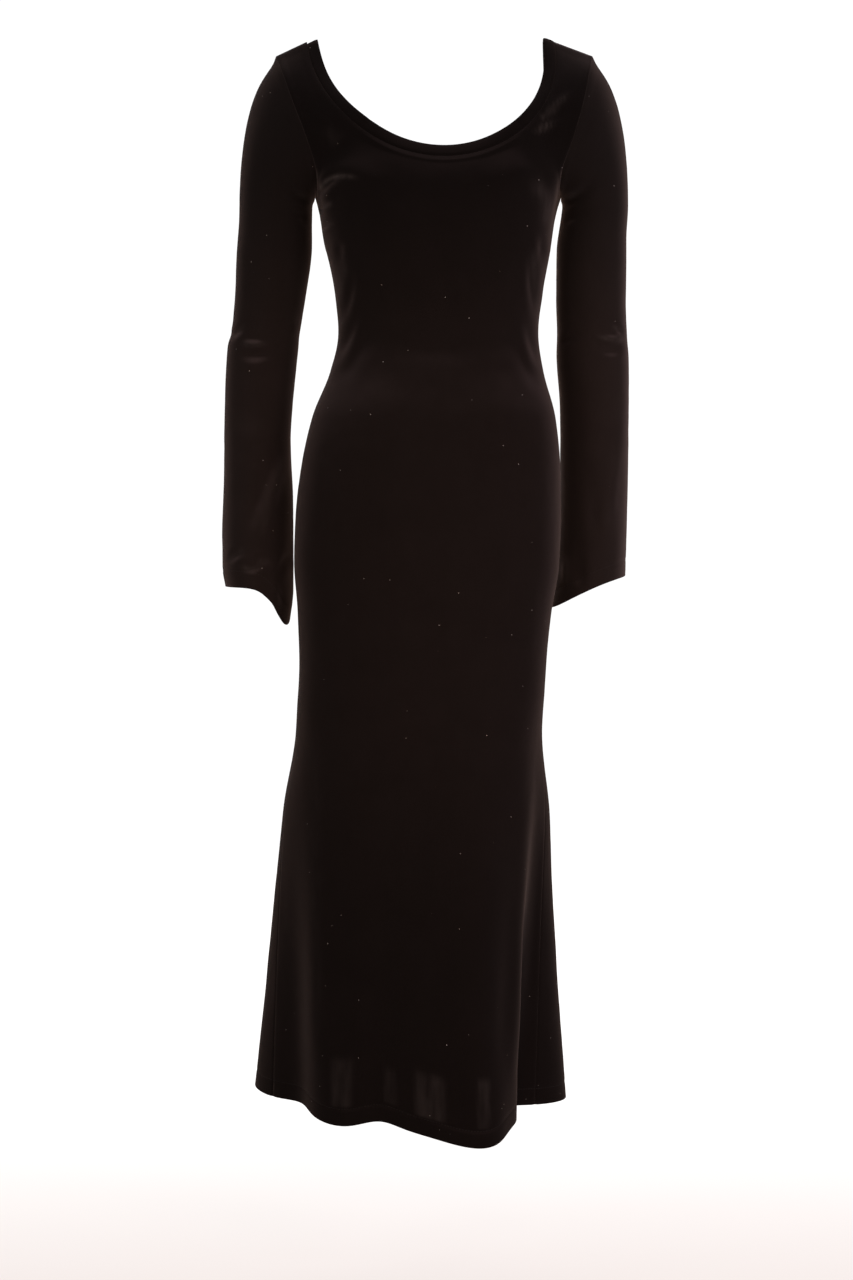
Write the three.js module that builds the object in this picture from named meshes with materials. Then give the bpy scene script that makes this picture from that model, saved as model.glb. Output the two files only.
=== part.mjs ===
// Long-sleeved velvet maxi dress, hollow and open at the neck, cuffs and hem, in the form it has when worn.
// Millimetres, +Z up, front towards -Y, origin midway between the shoulder seams, where the dress is held.
// Distances down are counted from a level above the shoulders, SHOULDER_DOWN higher than the origin.
import * as THREE from "three";

// Driving dimensions
const CLOTH = 1.6;
const BAND_CLOTH = 2.4;
const SEAM_GAP = 0.3;
const HEM_TURN = 21;
const HEM_EXTRA = 1.0;
const HEM_DOWN = 1298;
const SHOULDER_DOWN = 17;
const BUST_BASE = 260;
const BAND_WIDTH = 14;
const SHOULDER_DEPTH = 3;
const BUST_SLOPE_STEP = 20;
const UNDERARM_EASE = 0.7;

// Wide scoop neck, as the seam under the band
const NECK_HALF = 148;
const NECK_SHIFT = -3.5;
const NECK_TOP = -9;
const FRONT_NECK = { drop: 150, reach: -112, sway: 9, forward: 0.85, round: 1.98 };
const BACK_NECK = { drop: 132, reach: 96, sway: 8, forward: 0.7, round: 2.7 };

// Grid sizes: steps along each stretch of the panels' upper edge, and rows of each piece
const LOW_ARMHOLE_STEPS = 4;
const STRAP_STEPS = 5;
const STRAP_ROWS = 6;
const NECK_STEPS = 10;
const CHEST_ROWS = 6;
const SKIRT_ROWS = 22;
const CAP_ROWS = 6;
const ARM_ROWS = 13;
const BAND_ROWS = 2;

// Where the shoulder strap starts: row of the armhole tables, and share of the neck seam on each side
const NOTCH_ROW = 2;
const NECK_SIDE = 0.27;

// Body sections from under the bust to the hem: distance down, side outlines, depth in front and behind
const BODY = [
  { down: 225, left: -139, right: 147, front: -126, back: 96, square: 2.3 },
  { down: 260, left: -126, right: 141, front: -115, back: 93, square: 2.3 },
  { down: 310, left: -116, right: 132, front: -101, back: 87, square: 2.2 },
  { down: 357, left: -112, right: 127, front: -93, back: 84, square: 2.2 },
  { down: 400, left: -121, right: 133, front: -97, back: 91, square: 2.2 },
  { down: 458, left: -144, right: 148, front: -105, back: 105, square: 2.2 },
  { down: 516, left: -157, right: 154, front: -110, back: 117, square: 2.2 },
  { down: 574, left: -164, right: 155, front: -112, back: 123, square: 2.2 },
  { down: 632, left: -166, right: 153, front: -112, back: 123, square: 2.2 },
  { down: 690, left: -162, right: 144, front: -111, back: 119, square: 2.2 },
  { down: 748, left: -160, right: 138, front: -111, back: 115, square: 2.2 },
  { down: 835, left: -165, right: 134, front: -113, back: 112, square: 2.2 },
  { down: 937, left: -183, right: 143, front: -116, back: 118, square: 2.1 },
  { down: 1097, left: -199, right: 146, front: -122, back: 132, square: 2.0 },
  { down: 1298, left: -216, right: 152, front: -128, back: 146, square: 2.0 },
];

// Skirt folds: place round the body in degrees from the centre front, to the right, half width in degrees,
// how far out (or in) the fold stands at the hem, how much lower it hangs there, and how far down it starts
const FOLDS = [
  { name: "front lip", turn: 24, spread: 18, reach: 33, drop: 15, start: 760 },
  { name: "groove behind the lip", turn: 75, spread: 25, reach: -60, drop: -6, start: 790 },
  { name: "right flare", turn: 117, spread: 28, reach: 32, drop: 0, start: 740 },
  { name: "front trough", turn: -10, spread: 13, reach: -8, drop: -10, start: 800 },
  { name: "left hollow", turn: -69, spread: 39, reach: -46, drop: -14, start: 800 },
  { name: "left flare", turn: -117, spread: 31, reach: 24, drop: -16, start: 760 },
  { name: "back right hollow", turn: 142, spread: 16, reach: -26, drop: 0, start: 800 },
  { name: "back ridge", turn: 168, spread: 18, reach: 22, drop: 0, start: 780 },
  { name: "back hollow", turn: -162, spread: 16, reach: -30, drop: 0, start: 820 },
];
const FOLD_GROWTH = 1.15;
const FOLD_SOFTNESS = 1.6;

// Lean of the upper body: how far the centre line stands to the right, by distance down
const LEAN = [
  { down: -10, shift: 0 },
  { down: 60, shift: 5 },
  { down: 130, shift: 9 },
  { down: 200, shift: 7 },
];

// Armhole seams from underarm to shoulder: half width, depth and distance down
const FRONT_ARMHOLE = [
  { half: 147, depth: 8, down: 194 },
  { half: 144, depth: -28, down: 184 },
  { half: 146, depth: -52, down: 163 },
  { half: 157, depth: -64, down: 130 },
  { half: 170, depth: -58, down: 92 },
  { half: 182, depth: -32, down: 50 },
  { half: 189, depth: 3, down: 26 },
];
const BACK_ARMHOLE = [
  { half: 147, depth: 8, down: 194 },
  { half: 150, depth: 44, down: 178 },
  { half: 158, depth: 62, down: 150 },
  { half: 168, depth: 68, down: 115 },
  { half: 178, depth: 60, down: 78 },
  { half: 186, depth: 36, down: 44 },
  { half: 189, depth: 3, down: 26 },
];

// Sleeve sections from the top of the arm to the cuff: distance down, centre, half width and half depth
const LEFT_SLEEVE = [
  { down: 206, x: -188, y: 10, half: 44, deep: 50 },
  { down: 255, x: -190.5, y: 16, half: 44.5, deep: 47 },
  { down: 312, x: -196, y: 23, half: 42, deep: 44 },
  { down: 355, x: -202, y: 28, half: 41, deep: 43 },
  { down: 370, x: -205, y: 29, half: 42.5, deep: 43 },
  { down: 442, x: -210.5, y: 27, half: 40.5, deep: 43 },
  { down: 486, x: -212, y: 25, half: 40, deep: 46 },
  { down: 544, x: -211, y: 24, half: 41.5, deep: 51 },
  { down: 603, x: -212, y: 24, half: 42.5, deep: 57 },
  { down: 639, x: -212, y: 24, half: 42.5, deep: 60 },
  { down: 661, x: -212, y: 24, half: 39, deep: 61 },
];
const RIGHT_SLEEVE = [
  { down: 206, x: 197, y: 14, half: 40, deep: 50 },
  { down: 254, x: 193, y: 22, half: 41.5, deep: 47 },
  { down: 311, x: 193, y: 33, half: 41.5, deep: 44 },
  { down: 354, x: 195, y: 42, half: 42, deep: 43 },
  { down: 383, x: 196, y: 46, half: 43.5, deep: 43 },
  { down: 442, x: 199, y: 51, half: 41.5, deep: 44 },
  { down: 485, x: 199.5, y: 55, half: 41, deep: 46 },
  { down: 544, x: 199, y: 59, half: 41, deep: 51 },
  { down: 603, x: 196, y: 64, half: 43, deep: 56 },
  { down: 648, x: 192, y: 68, half: 46, deep: 60 },
];

// Cuff edge: how much lower than the last section it hangs, by place round the arm from the body side
const CUFF_SLANT = { left: { drop: 46, turn: 22, spread: 40 }, right: { drop: 40, turn: 8, spread: 88 } };
const CUFF_START = 480;

// Sleeve cap: how full it stands out of the armhole, and how much it slopes at the shoulder
const CAP_FULLNESS = { underarm: 0.5, shoulder: 0.85 };
const CAP_SLOPE = 0.6;
const CAP_FALL = 0.7;

// Panels: how strongly the chest follows the body below and the seam above, and the straps their ends
const CHEST_PULL = { body: 0.9, seam: 0.7 };
const STRAP_PULL = { chest: 0.8, shoulder: 0.9 };
const STRAP_BOW = { start: 1.1, end: 1.0 };

// Ways the cloth runs upward, for the left side: across to the outside, towards the other panel, and up
const UNDERARM_WAY = { out: 0.45, aft: 0.0, up: 0.89 };
const STRAP_WAY = { out: 0.38, aft: 0.35, up: 0.86 };
const SHOULDER_WAY = { out: 0.1, aft: 0.98, up: 0.2 };
const NECK_WAY = { out: 0.0, aft: 0.32, up: 0.95 };

// Ways the chest line runs across, where it leaves the armhole and where it reaches the neck
const NOTCH_LEAVE = { out: -0.75, aft: -0.65, up: 0.1 };
const NECK_ARRIVE = { out: -0.95, aft: -0.25, up: 0.2 };

const VELVET = { color: 0x1a1312, roughness: 0.95, metalness: 0 };

// Reads a table at any distance down: a monotone cubic through each named column
function reader(rows, by = "down") {
  const keys = Object.keys(rows[0]).filter((key) => typeof rows[0][key] === "number");
  const places = rows.map((row) => row[by]);
  const slopes = {};
  for (const key of keys) slopes[key] = columnSlopes(places, rows.map((row) => row[key]));
  return (place) => {
    let low = 0;
    while (low < places.length - 2 && place > places[low + 1]) low += 1;
    const step = places[low + 1] - places[low];
    const part = THREE.MathUtils.clamp((place - places[low]) / step, 0, 1);
    const values = {};
    for (const key of keys) {
      const ends = [rows[low][key], rows[low + 1][key]];
      const pulls = [slopes[key][low] * step, slopes[key][low + 1] * step];
      values[key] = hermite(ends[0], pulls[0], ends[1], pulls[1], part);
    }
    return values;
  };
}

function columnSlopes(places, values) {
  const last = values.length - 1;
  const rises = [];
  for (let i = 0; i < last; i += 1) rises.push((values[i + 1] - values[i]) / (places[i + 1] - places[i]));
  const slopes = [rises[0]];
  for (let i = 1; i < last; i += 1) {
    const both = rises[i - 1] * rises[i];
    slopes.push(both <= 0 ? 0 : (2 * both) / (rises[i - 1] + rises[i]));
  }
  slopes.push(rises[last - 1]);
  return slopes;
}

function hermite(start, startPull, end, endPull, part) {
  const square = part * part;
  const cube = square * part;
  const atStart = 2 * cube - 3 * square + 1;
  const atStartPull = cube - 2 * square + part;
  const atEndPull = cube - square;
  return atStart * start + atStartPull * startPull + (1 - atStart) * end + atEndPull * endPull;
}

function hermitePoint(start, startPull, end, endPull, part) {
  const axes = ["x", "y", "z"];
  return new THREE.Vector3(...axes.map((axis) => {
    return hermite(start[axis], startPull[axis], end[axis], endPull[axis], part);
  }));
}

// Points of a polyline at even shares of its length
function evenly(points, steps) {
  const lengths = [0];
  for (let i = 1; i < points.length; i += 1) {
    lengths.push(lengths[i - 1] + points[i].distanceTo(points[i - 1]));
  }
  const spread = [];
  let at = 1;
  for (let i = 0; i <= steps; i += 1) {
    const goal = (lengths[lengths.length - 1] * i) / steps;
    while (at < lengths.length - 1 && lengths[at] < goal) at += 1;
    const part = (goal - lengths[at - 1]) / (lengths[at] - lengths[at - 1]);
    spread.push(points[at - 1].clone().lerp(points[at], part));
  }
  return spread;
}

// A curve sampled closely between two of its shares, then stepped evenly
function stretch(curve, from, to, steps) {
  const fine = 80;
  const points = [];
  for (let i = 0; i <= fine; i += 1) points.push(curve(THREE.MathUtils.lerp(from, to, i / fine)));
  return evenly(points, steps);
}

const bodyAt = reader(BODY);
const leanAt = reader(LEAN);

// One point of the body tube: turn is 0 at the centre front and a quarter turn at the right side seam
function bodyPoint(down, turn) {
  const row = bodyAt(down);
  const power = 2 / row.square;
  const across = Math.sign(Math.sin(turn)) * Math.abs(Math.sin(turn)) ** power;
  const along = Math.sign(Math.cos(turn)) * Math.abs(Math.cos(turn)) ** power;
  const point = new THREE.Vector3((across * (row.right - row.left)) / 2, 0, 0);
  point.y = along > 0 ? along * row.front : -along * row.back;
  const outward = point.clone().normalize();
  const { reach, drop } = foldsAt(down, THREE.MathUtils.radToDeg(turn));
  point.addScaledVector(outward, reach);
  return point.add(new THREE.Vector3((row.left + row.right) / 2, 0, -down - drop));
}

// How far out the folds stand together at one place, and how much lower they hang
function foldsAt(down, degrees) {
  const sum = { reach: 0, drop: 0 };
  for (const fold of FOLDS) {
    const off = (THREE.MathUtils.euclideanModulo(degrees - fold.turn + 180, 360) - 180) / fold.spread;
    const grown = THREE.MathUtils.clamp((down - fold.start) / (HEM_DOWN - fold.start), 0, 1);
    const share = grown ** FOLD_GROWTH * Math.exp(-FOLD_SOFTNESS * off * off);
    sum.reach += fold.reach * share;
    sum.drop += fold.drop * share;
  }
  return sum;
}

// Half of a body section, front or back, from the left side seam to the right one as seen from the front
function bodyHalf(down, isFront, steps) {
  return stretch((share) => {
    const part = (share - 0.5) * Math.PI;
    return bodyPoint(down, isFront ? part : Math.PI - part);
  }, 0, 1, steps);
}

// Armhole seam of one side as a smooth curve, from the underarm to the shoulder
function armholeCurve(rows, side) {
  const corners = rows.map((row) => {
    return new THREE.Vector3(side * row.half + leanAt(row.down).shift, row.depth, -row.down);
  });
  return new THREE.CatmullRomCurve3(corners);
}

// Armhole seam points below the notch and above it
function armholePoints(rows, side) {
  const curve = armholeCurve(rows, side);
  const notch = NOTCH_ROW / (rows.length - 1);
  const at = (share) => curve.getPoint(share);
  return { low: stretch(at, 0, notch, LOW_ARMHOLE_STEPS), high: stretch(at, notch, 1, STRAP_ROWS) };
}

// Neck seam of the front or back panel: share 0 at the left shoulder, 1 at the right one
function neckPoint(neck, share) {
  const angle = share * Math.PI;
  const sunk = Math.abs(Math.sin(angle)) ** (2 / neck.round);
  const half = -Math.sign(Math.cos(angle)) * Math.abs(Math.cos(angle)) ** (2 / neck.round);
  const depth = SHOULDER_DEPTH + (neck.reach - SHOULDER_DEPTH) * sunk ** neck.forward;
  const lean = leanAt(neck.drop * sunk - NECK_TOP).shift + NECK_SHIFT + neck.sway * sunk;
  return new THREE.Vector3(half * NECK_HALF + lean, depth, NECK_TOP - neck.drop * sunk);
}

// Neck seam points of the left side, the bottom of the scoop and the right side, left to right
function neckPoints(neck) {
  const at = (share) => neckPoint(neck, share);
  return {
    left: stretch(at, 0, NECK_SIDE, STRAP_ROWS),
    scoop: stretch(at, NECK_SIDE, 1 - NECK_SIDE, NECK_STEPS),
    right: stretch(at, 1 - NECK_SIDE, 1, STRAP_ROWS),
  };
}

const wayOf = ({ out, aft, up }, side, aftSign) => new THREE.Vector3(side * out, aftSign * aft, up).normalize();

// Line across the chest where a shoulder strap starts, from the armhole notch to the neck
function strapBase(notch, neck, side, aftSign) {
  const length = notch.distanceTo(neck);
  const leave = wayOf(NOTCH_LEAVE, side, aftSign).multiplyScalar(length * STRAP_BOW.start);
  const arrive = wayOf(NECK_ARRIVE, side, aftSign).multiplyScalar(length * STRAP_BOW.end);
  return stretch((share) => hermitePoint(notch, leave, neck, arrive, share), 0, 1, STRAP_STEPS);
}

// Shoulder strap from its base up to the shoulder seam, fitted to the armhole and neck curves at its sides
function strapRows(base, top, outer, inner, side, aftSign) {
  const rows = [];
  for (let row = 0; row <= STRAP_ROWS; row += 1) {
    const rise = row / STRAP_ROWS;
    const run = base.map((point, k) => {
      const length = point.distanceTo(top[k]);
      const leave = wayOf(STRAP_WAY, side, aftSign).multiplyScalar(length * STRAP_PULL.chest);
      const arrive = wayOf(SHOULDER_WAY, side, aftSign).multiplyScalar(length * STRAP_PULL.shoulder);
      return hermitePoint(point, leave, top[k], arrive, rise);
    });
    const outerMiss = outer[row].clone().sub(run[0]);
    const innerMiss = inner[row].clone().sub(run[STRAP_STEPS]);
    rows.push(run.map((point, k) => {
      const share = k / STRAP_STEPS;
      return point.clone().addScaledVector(outerMiss, 1 - share).addScaledVector(innerMiss, share);
    }));
  }
  return rows.reverse();
}

// Rows of the tube below the bust, the last one on the hem
function skirtLevels() {
  const levels = [];
  const foot = HEM_DOWN - HEM_TURN;
  for (let i = 0; i < SKIRT_ROWS; i += 1) levels.push(BUST_BASE + ((foot - BUST_BASE) * i) / (SKIRT_ROWS - 1));
  levels.push(HEM_DOWN);
  return levels;
}

// Front or back panel: two shoulder straps, and the body from the chest line to the hem
function panel(name, armholeRows, neck) {
  const isFront = neck.reach < 0;
  const aftSign = isFront ? 1 : -1;
  const scoop = neckPoints(neck);
  const cloth = new Surface(name);
  const edges = [-1, 1].map((side) => {
    const { low, high } = armholePoints(armholeRows, side);
    const neckSide = side < 0 ? scoop.left.slice().reverse() : scoop.right;
    const base = strapBase(high[0], neckSide[0], side, aftSign);
    const shoulderSeam = evenly([high[STRAP_ROWS], neckSide[STRAP_ROWS]], STRAP_STEPS);
    const strap = strapRows(base, shoulderSeam, high, neckSide, side, aftSign);
    cloth.addRows(strap, { turned: isFront === side > 0 });
    return edgeWays(low, base, side, aftSign);
  });
  const bottom = scoop.scoop.map((point, i) => {
    const bend = Math.abs(i / NECK_STEPS - 0.5) * 2;
    const atNeck = wayOf(NECK_WAY, 1, aftSign);
    const atStrap = wayOf(STRAP_WAY, i < NECK_STEPS / 2 ? -1 : 1, aftSign);
    return { point, way: atNeck.lerp(atStrap, bend * bend).normalize() };
  });
  const edge = [...edges[0], ...bottom.slice(1, -1), ...edges[1].reverse()];
  const rows = [...chestRows(edge, isFront)];
  for (const down of skirtLevels()) rows.push(bodyHalf(down, isFront, edge.length - 1));
  cloth.addRows(rows, { turned: !isFront, hem: true });
  return cloth;
}

// Chest line of one side from the underarm to the neck, with the way the cloth runs through it
function edgeWays(low, base, side, aftSign) {
  const atUnderarm = wayOf(UNDERARM_WAY, side, aftSign);
  const atNotch = wayOf(STRAP_WAY, side, aftSign);
  const lowWays = low.map((point, i) => {
    const share = i / LOW_ARMHOLE_STEPS;
    return { point, way: atUnderarm.clone().lerp(atNotch, share ** UNDERARM_EASE).normalize() };
  });
  return [...lowWays, ...base.slice(1).map((point) => ({ point, way: atNotch }))];
}

// Rows of the chest, from the chest line down to the bust base
function chestRows(edge, isFront) {
  const base = bodyHalf(BUST_BASE, isFront, edge.length - 1);
  const above = bodyHalf(BUST_BASE - BUST_SLOPE_STEP, isFront, edge.length - 1);
  const rows = [];
  for (let row = 0; row < CHEST_ROWS; row += 1) {
    rows.push(edge.map(({ point, way }, j) => {
      const length = point.distanceTo(base[j]);
      const rise = above[j].clone().sub(base[j]).normalize().multiplyScalar(length * CHEST_PULL.body);
      const leave = way.clone().multiplyScalar(length * CHEST_PULL.seam);
      return hermitePoint(base[j], rise, point, leave, 1 - row / CHEST_ROWS);
    }));
  }
  return rows;
}

// Sleeve: a cap drawn from the armhole seam to the top of the arm, then rings down to the slanted cuff
function sleeve(name, rows, side, slant) {
  const front = armholePoints(FRONT_ARMHOLE, side);
  const back = armholePoints(BACK_ARMHOLE, side);
  const climb = [...front.low, ...front.high.slice(1)];
  const fall = [...back.low, ...back.high.slice(1)].reverse();
  const seam = [...climb, ...fall.slice(1, -1)];
  const turnOf = (k) => (k / seam.length) * 2 * Math.PI;
  const sleeveAt = reader(rows);
  const ring = (down) => seam.map((_, k) => sleevePoint(sleeveAt(down), side, turnOf(k)));
  const top = rows[0].down;
  const first = ring(top);
  const grid = [];
  for (let row = 0; row < CAP_ROWS; row += 1) {
    grid.push(seam.map((point, k) => capPoint(point, first[k], side, turnOf(k), row / CAP_ROWS)));
  }
  const cuff = rows[rows.length - 1].down;
  for (let row = 0; row <= ARM_ROWS; row += 1) {
    const down = row < ARM_ROWS ? top + ((cuff - HEM_TURN - top) * row) / (ARM_ROWS - 1) : cuff;
    const share = Math.max(0, (down - CUFF_START) / (cuff - CUFF_START));
    const points = ring(down);
    points.forEach((point, k) => {
      point.z -= cuffDrop(slant, THREE.MathUtils.radToDeg(turnOf(k))) * share;
    });
    grid.push(points);
  }
  const cloth = new Surface(name);
  cloth.addRows(grid, { closed: true, turned: side < 0, hem: true });
  return cloth;
}

// One point of a sleeve section, turning from the body side round the front to the outer side
function sleevePoint(row, side, turn) {
  const across = -side * row.half * Math.cos(turn);
  return new THREE.Vector3(row.x + across, row.y - row.deep * Math.sin(turn), -row.down);
}

function capPoint(seamPoint, armPoint, side, turn, part) {
  const height = (1 - Math.cos(turn)) / 2;
  const length = seamPoint.distanceTo(armPoint);
  const full = THREE.MathUtils.lerp(CAP_FULLNESS.underarm, CAP_FULLNESS.shoulder, height);
  const leave = new THREE.Vector3(side, 0, -CAP_SLOPE * height).normalize().multiplyScalar(length * full);
  const fall = new THREE.Vector3(0, 0, -length * CAP_FALL);
  return hermitePoint(seamPoint, leave, armPoint, fall, part);
}

function cuffDrop(slant, degrees) {
  const off = (THREE.MathUtils.euclideanModulo(degrees - slant.turn + 180, 360) - 180) / slant.spread;
  return slant.drop * Math.exp(-off * off);
}

// Neck band from the neck seam to the opening, square to the seam all round
function neckBand(name, panels) {
  const front = neckPoints(FRONT_NECK);
  const back = neckPoints(BACK_NECK);
  const run = ({ left, scoop, right }) => [...left, ...scoop.slice(1), ...right.slice(1)];
  const loop = [...run(front), ...run(back).reverse().slice(1, -1)];
  const rows = [];
  for (let row = 0; row <= BAND_ROWS; row += 1) {
    rows.push(loop.map((point, k) => {
      const before = loop[(k + loop.length - 1) % loop.length];
      const after = loop[(k + 1) % loop.length];
      const along = after.clone().sub(before).normalize();
      const inward = sharedNormal(panels, point).cross(along).normalize();
      return point.clone().addScaledVector(inward, (BAND_WIDTH * row) / BAND_ROWS);
    }));
  }
  const cloth = new Surface(name);
  cloth.addRows(rows, { closed: true, turned: true, openEnd: true });
  return cloth;
}

const placeKey = (point) => point.toArray().map((value) => Math.round(value * 100)).join(" ");

// A cloth surface: points joined by four-cornered cells, equal points shared
class Surface {
  constructor(name) {
    this.name = name;
    this.points = [];
    this.cells = [];
    this.places = new Map();
    this.open = new Set();
    this.turnedUp = new Set();
  }

  add(point) {
    const key = placeKey(point);
    if (!this.places.has(key)) {
      this.places.set(key, this.points.length);
      this.points.push(point.clone());
    }
    return this.places.get(key);
  }

  // Rows run down the cloth and columns to the right as seen from outside, or the other way when turned
  addRows(rows, { closed = false, turned = false, hem = false, openEnd = false } = {}) {
    const ids = rows.map((points) => points.map((point) => this.add(point)));
    const columns = ids[0].length;
    const last = ids.length - 1;
    for (let row = 0; row < last; row += 1) {
      for (let j = 0; j < (closed ? columns : columns - 1); j += 1) {
        const next = (j + 1) % columns;
        const cell = [ids[row][j], ids[row + 1][j], ids[row + 1][next], ids[row][next]];
        this.cells.push(turned ? cell.reverse() : cell);
      }
    }
    if (hem || openEnd) ids[last].forEach((id) => this.open.add(id));
    if (hem) [...ids[last], ...ids[last - 1]].forEach((id) => this.turnedUp.add(id));
  }

  // Outward normals from the cells round each point
  findNormals() {
    this.normals = this.points.map(() => new THREE.Vector3());
    for (const [a, b, c, d] of this.cells) {
      const across = this.points[c].clone().sub(this.points[a]);
      const normal = across.cross(this.points[d].clone().sub(this.points[b]));
      for (const id of [a, b, c, d]) this.normals[id].add(normal);
    }
    this.normals.forEach((normal) => normal.normalize());
  }

  // Edges of the cloth, each in the direction of its only cell
  findRim() {
    const seen = new Map();
    for (const cell of this.cells) {
      cell.forEach((id, k) => seen.set(`${id} ${cell[(k + 1) % 4]}`, [id, cell[(k + 1) % 4]]));
    }
    return [...seen.values()].filter(([a, b]) => !seen.has(`${b} ${a}`));
  }
}

function sharedNormal(surfaces, point) {
  const sum = new THREE.Vector3();
  for (const surface of surfaces) {
    const id = surface.places.get(placeKey(point));
    if (id !== undefined) sum.add(surface.normals[id]);
  }
  return sum.normalize();
}

// Sewn edges share one normal where their points coincide, so that the walls meet on a mitre
function shareSeamNormals(surfaces) {
  for (const surface of surfaces) {
    const rim = new Set(surface.findRim().flat());
    surface.seamNormals = new Map([...rim].map((id) => [id, sharedNormal(surfaces, surface.points[id])]));
  }
  for (const surface of surfaces) {
    surface.seamNormals.forEach((normal, id) => surface.normals[id].copy(normal));
  }
}

// Draws the sewn edges back from the seam, square to it
function openSeams(surface) {
  const pulls = new Map();
  for (const [a, b] of surface.findRim()) {
    if (surface.open.has(a) && surface.open.has(b)) continue;
    const along = surface.points[b].clone().sub(surface.points[a]);
    for (const id of [a, b]) {
      const pull = surface.normals[id].clone().cross(along).normalize();
      pulls.set(id, [...(pulls.get(id) ?? []), pull]);
    }
  }
  pulls.forEach((pair, id) => {
    const [first, second = first] = pair;
    const shift = first.clone().add(second).divideScalar(1 + first.dot(second));
    surface.points[id].addScaledVector(shift, SEAM_GAP / 2);
  });
}

// Which end of a rim step comes first, so that the rims on both sides of a seam are split the same way
function comesFirst(from, to) {
  const steps = from.clone().sub(to).toArray();
  return steps.reduce((best, step) => (Math.abs(step) > Math.abs(best) ? step : best)) > 0;
}

// Closes a surface into a wall: outer and inner skins, and the rims between them
function wall(surface, thick) {
  const inner = surface.points.length;
  const places = [];
  surface.points.forEach((point, id) => {
    places.push(...point.clone().addScaledVector(surface.normals[id], thick / 2).toArray());
  });
  surface.points.forEach((point, id) => {
    const reach = thick / 2 + (surface.turnedUp.has(id) ? HEM_EXTRA : 0);
    places.push(...point.clone().addScaledVector(surface.normals[id], -reach).toArray());
  });
  const index = [];
  const quad = (a, b, c, d) => index.push(a, b, c, a, c, d);
  for (const cell of surface.cells) {
    quad(...cell);
    quad(...cell.map((id) => id + inner).reverse());
  }
  for (const [a, b] of surface.findRim()) {
    if (comesFirst(surface.points[a], surface.points[b])) quad(b, a, a + inner, b + inner);
    else quad(a, a + inner, b + inner, b);
  }
  const geometry = new THREE.BufferGeometry();
  geometry.setAttribute("position", new THREE.Float32BufferAttribute(places, 3));
  geometry.setIndex(index);
  geometry.computeVertexNormals();
  return geometry;
}

// The whole dress: panels, sleeves and band, sewn edge to edge
function dress() {
  const pieces = [
    panel("front", FRONT_ARMHOLE, FRONT_NECK),
    panel("back", BACK_ARMHOLE, BACK_NECK),
    sleeve("sleeve_left", LEFT_SLEEVE, -1, CUFF_SLANT.left),
    sleeve("sleeve_right", RIGHT_SLEEVE, 1, CUFF_SLANT.right),
  ];
  pieces.forEach((piece) => piece.findNormals());
  const band = neckBand("neck_band", pieces);
  band.findNormals();
  const group = new THREE.Group();
  group.name = "maxi_dress";
  const all = [...pieces, band];
  shareSeamNormals(all);
  for (const piece of all) {
    openSeams(piece);
    const geometry = wall(piece, piece === band ? BAND_CLOTH : CLOTH);
    geometry.translate(0, 0, SHOULDER_DOWN);
    const mesh = new THREE.Mesh(geometry, new THREE.MeshStandardMaterial(VELVET));
    mesh.name = piece.name;
    group.add(mesh);
  }
  return group;
}

export default dress();
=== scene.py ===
"""Looks of a long velvet dress: fine cloth shells on its solids, with creases, seams and sewn hems."""
import math

import bpy
import numpy as np
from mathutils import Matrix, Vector, noise
from mathutils.kdtree import KDTree


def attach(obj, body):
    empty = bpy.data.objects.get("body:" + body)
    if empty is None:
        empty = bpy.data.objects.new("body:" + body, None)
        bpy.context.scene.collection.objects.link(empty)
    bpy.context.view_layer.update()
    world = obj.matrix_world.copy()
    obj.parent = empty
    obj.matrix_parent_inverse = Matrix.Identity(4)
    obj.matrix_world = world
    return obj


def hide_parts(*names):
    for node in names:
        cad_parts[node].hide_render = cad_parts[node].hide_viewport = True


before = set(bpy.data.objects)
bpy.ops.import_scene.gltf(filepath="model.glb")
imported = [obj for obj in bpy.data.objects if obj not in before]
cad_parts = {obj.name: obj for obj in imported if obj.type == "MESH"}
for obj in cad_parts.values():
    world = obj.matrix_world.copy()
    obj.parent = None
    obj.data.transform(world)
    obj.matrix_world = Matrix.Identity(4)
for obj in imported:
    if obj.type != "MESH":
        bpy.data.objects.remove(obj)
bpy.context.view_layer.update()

# Sizes in millimetres, as in the solids; distances down start at a line SHOULDER_DOWN above the origin
MM = 0.001
CLOTH = 1.5
SEAM_LAP = 0.3
HEM_TURN = 21
HEM_EDGE = (HEM_TURN - 2, HEM_TURN + 1)
HEM_EXTRA = 1.0
HEM_DOWN = 1298
SHOULDER_DOWN = 17
BUST_BASE = 260
BUST_SLOPE_STEP = 20
BAND_WIDTH = 14
BAND_THICK = 3.4
BAND_ROUND = 2.6
SHOULDER_DEPTH = 3
UNDERARM_EASE = 0.7

# Wide scoop neck, as the seam under the band
NECK_HALF = 148
NECK_SHIFT = -3.5
NECK_TOP = -9
FRONT_NECK = {"drop": 150, "reach": -112, "sway": 9, "forward": 0.85, "round": 1.98}
BACK_NECK = {"drop": 132, "reach": 96, "sway": 8, "forward": 0.7, "round": 2.7}

# Steps along each stretch of the panels' upper edge, and rows of each piece
LOW_ARMHOLE_STEPS = 16
STRAP_STEPS = 14
STRAP_ROWS = 26
NECK_STEPS = 56
CHEST_ROWS = 50
SKIRT_ROWS = 196
HEM_ROWS = 24
HEM_ZONE = 40
CAP_ROWS = 28
ARM_ROWS = 176
BAND_SIDES = 22
CURVE_SAMPLES = 400
RIM_STEPS = 4

# Easing of the chest: rounds, share of each, and the height over which it ends above the bust base
CHEST_EASE = {"rounds": 30, "share": 0.5, "fade": 40}

# Parts of a millimetre to which equal points agree, the least length of a vector, and a height past any hem
KEY_STEPS = 100
LEAST_LENGTH = 1e-12
FAR_ABOVE = 1e6

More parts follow.
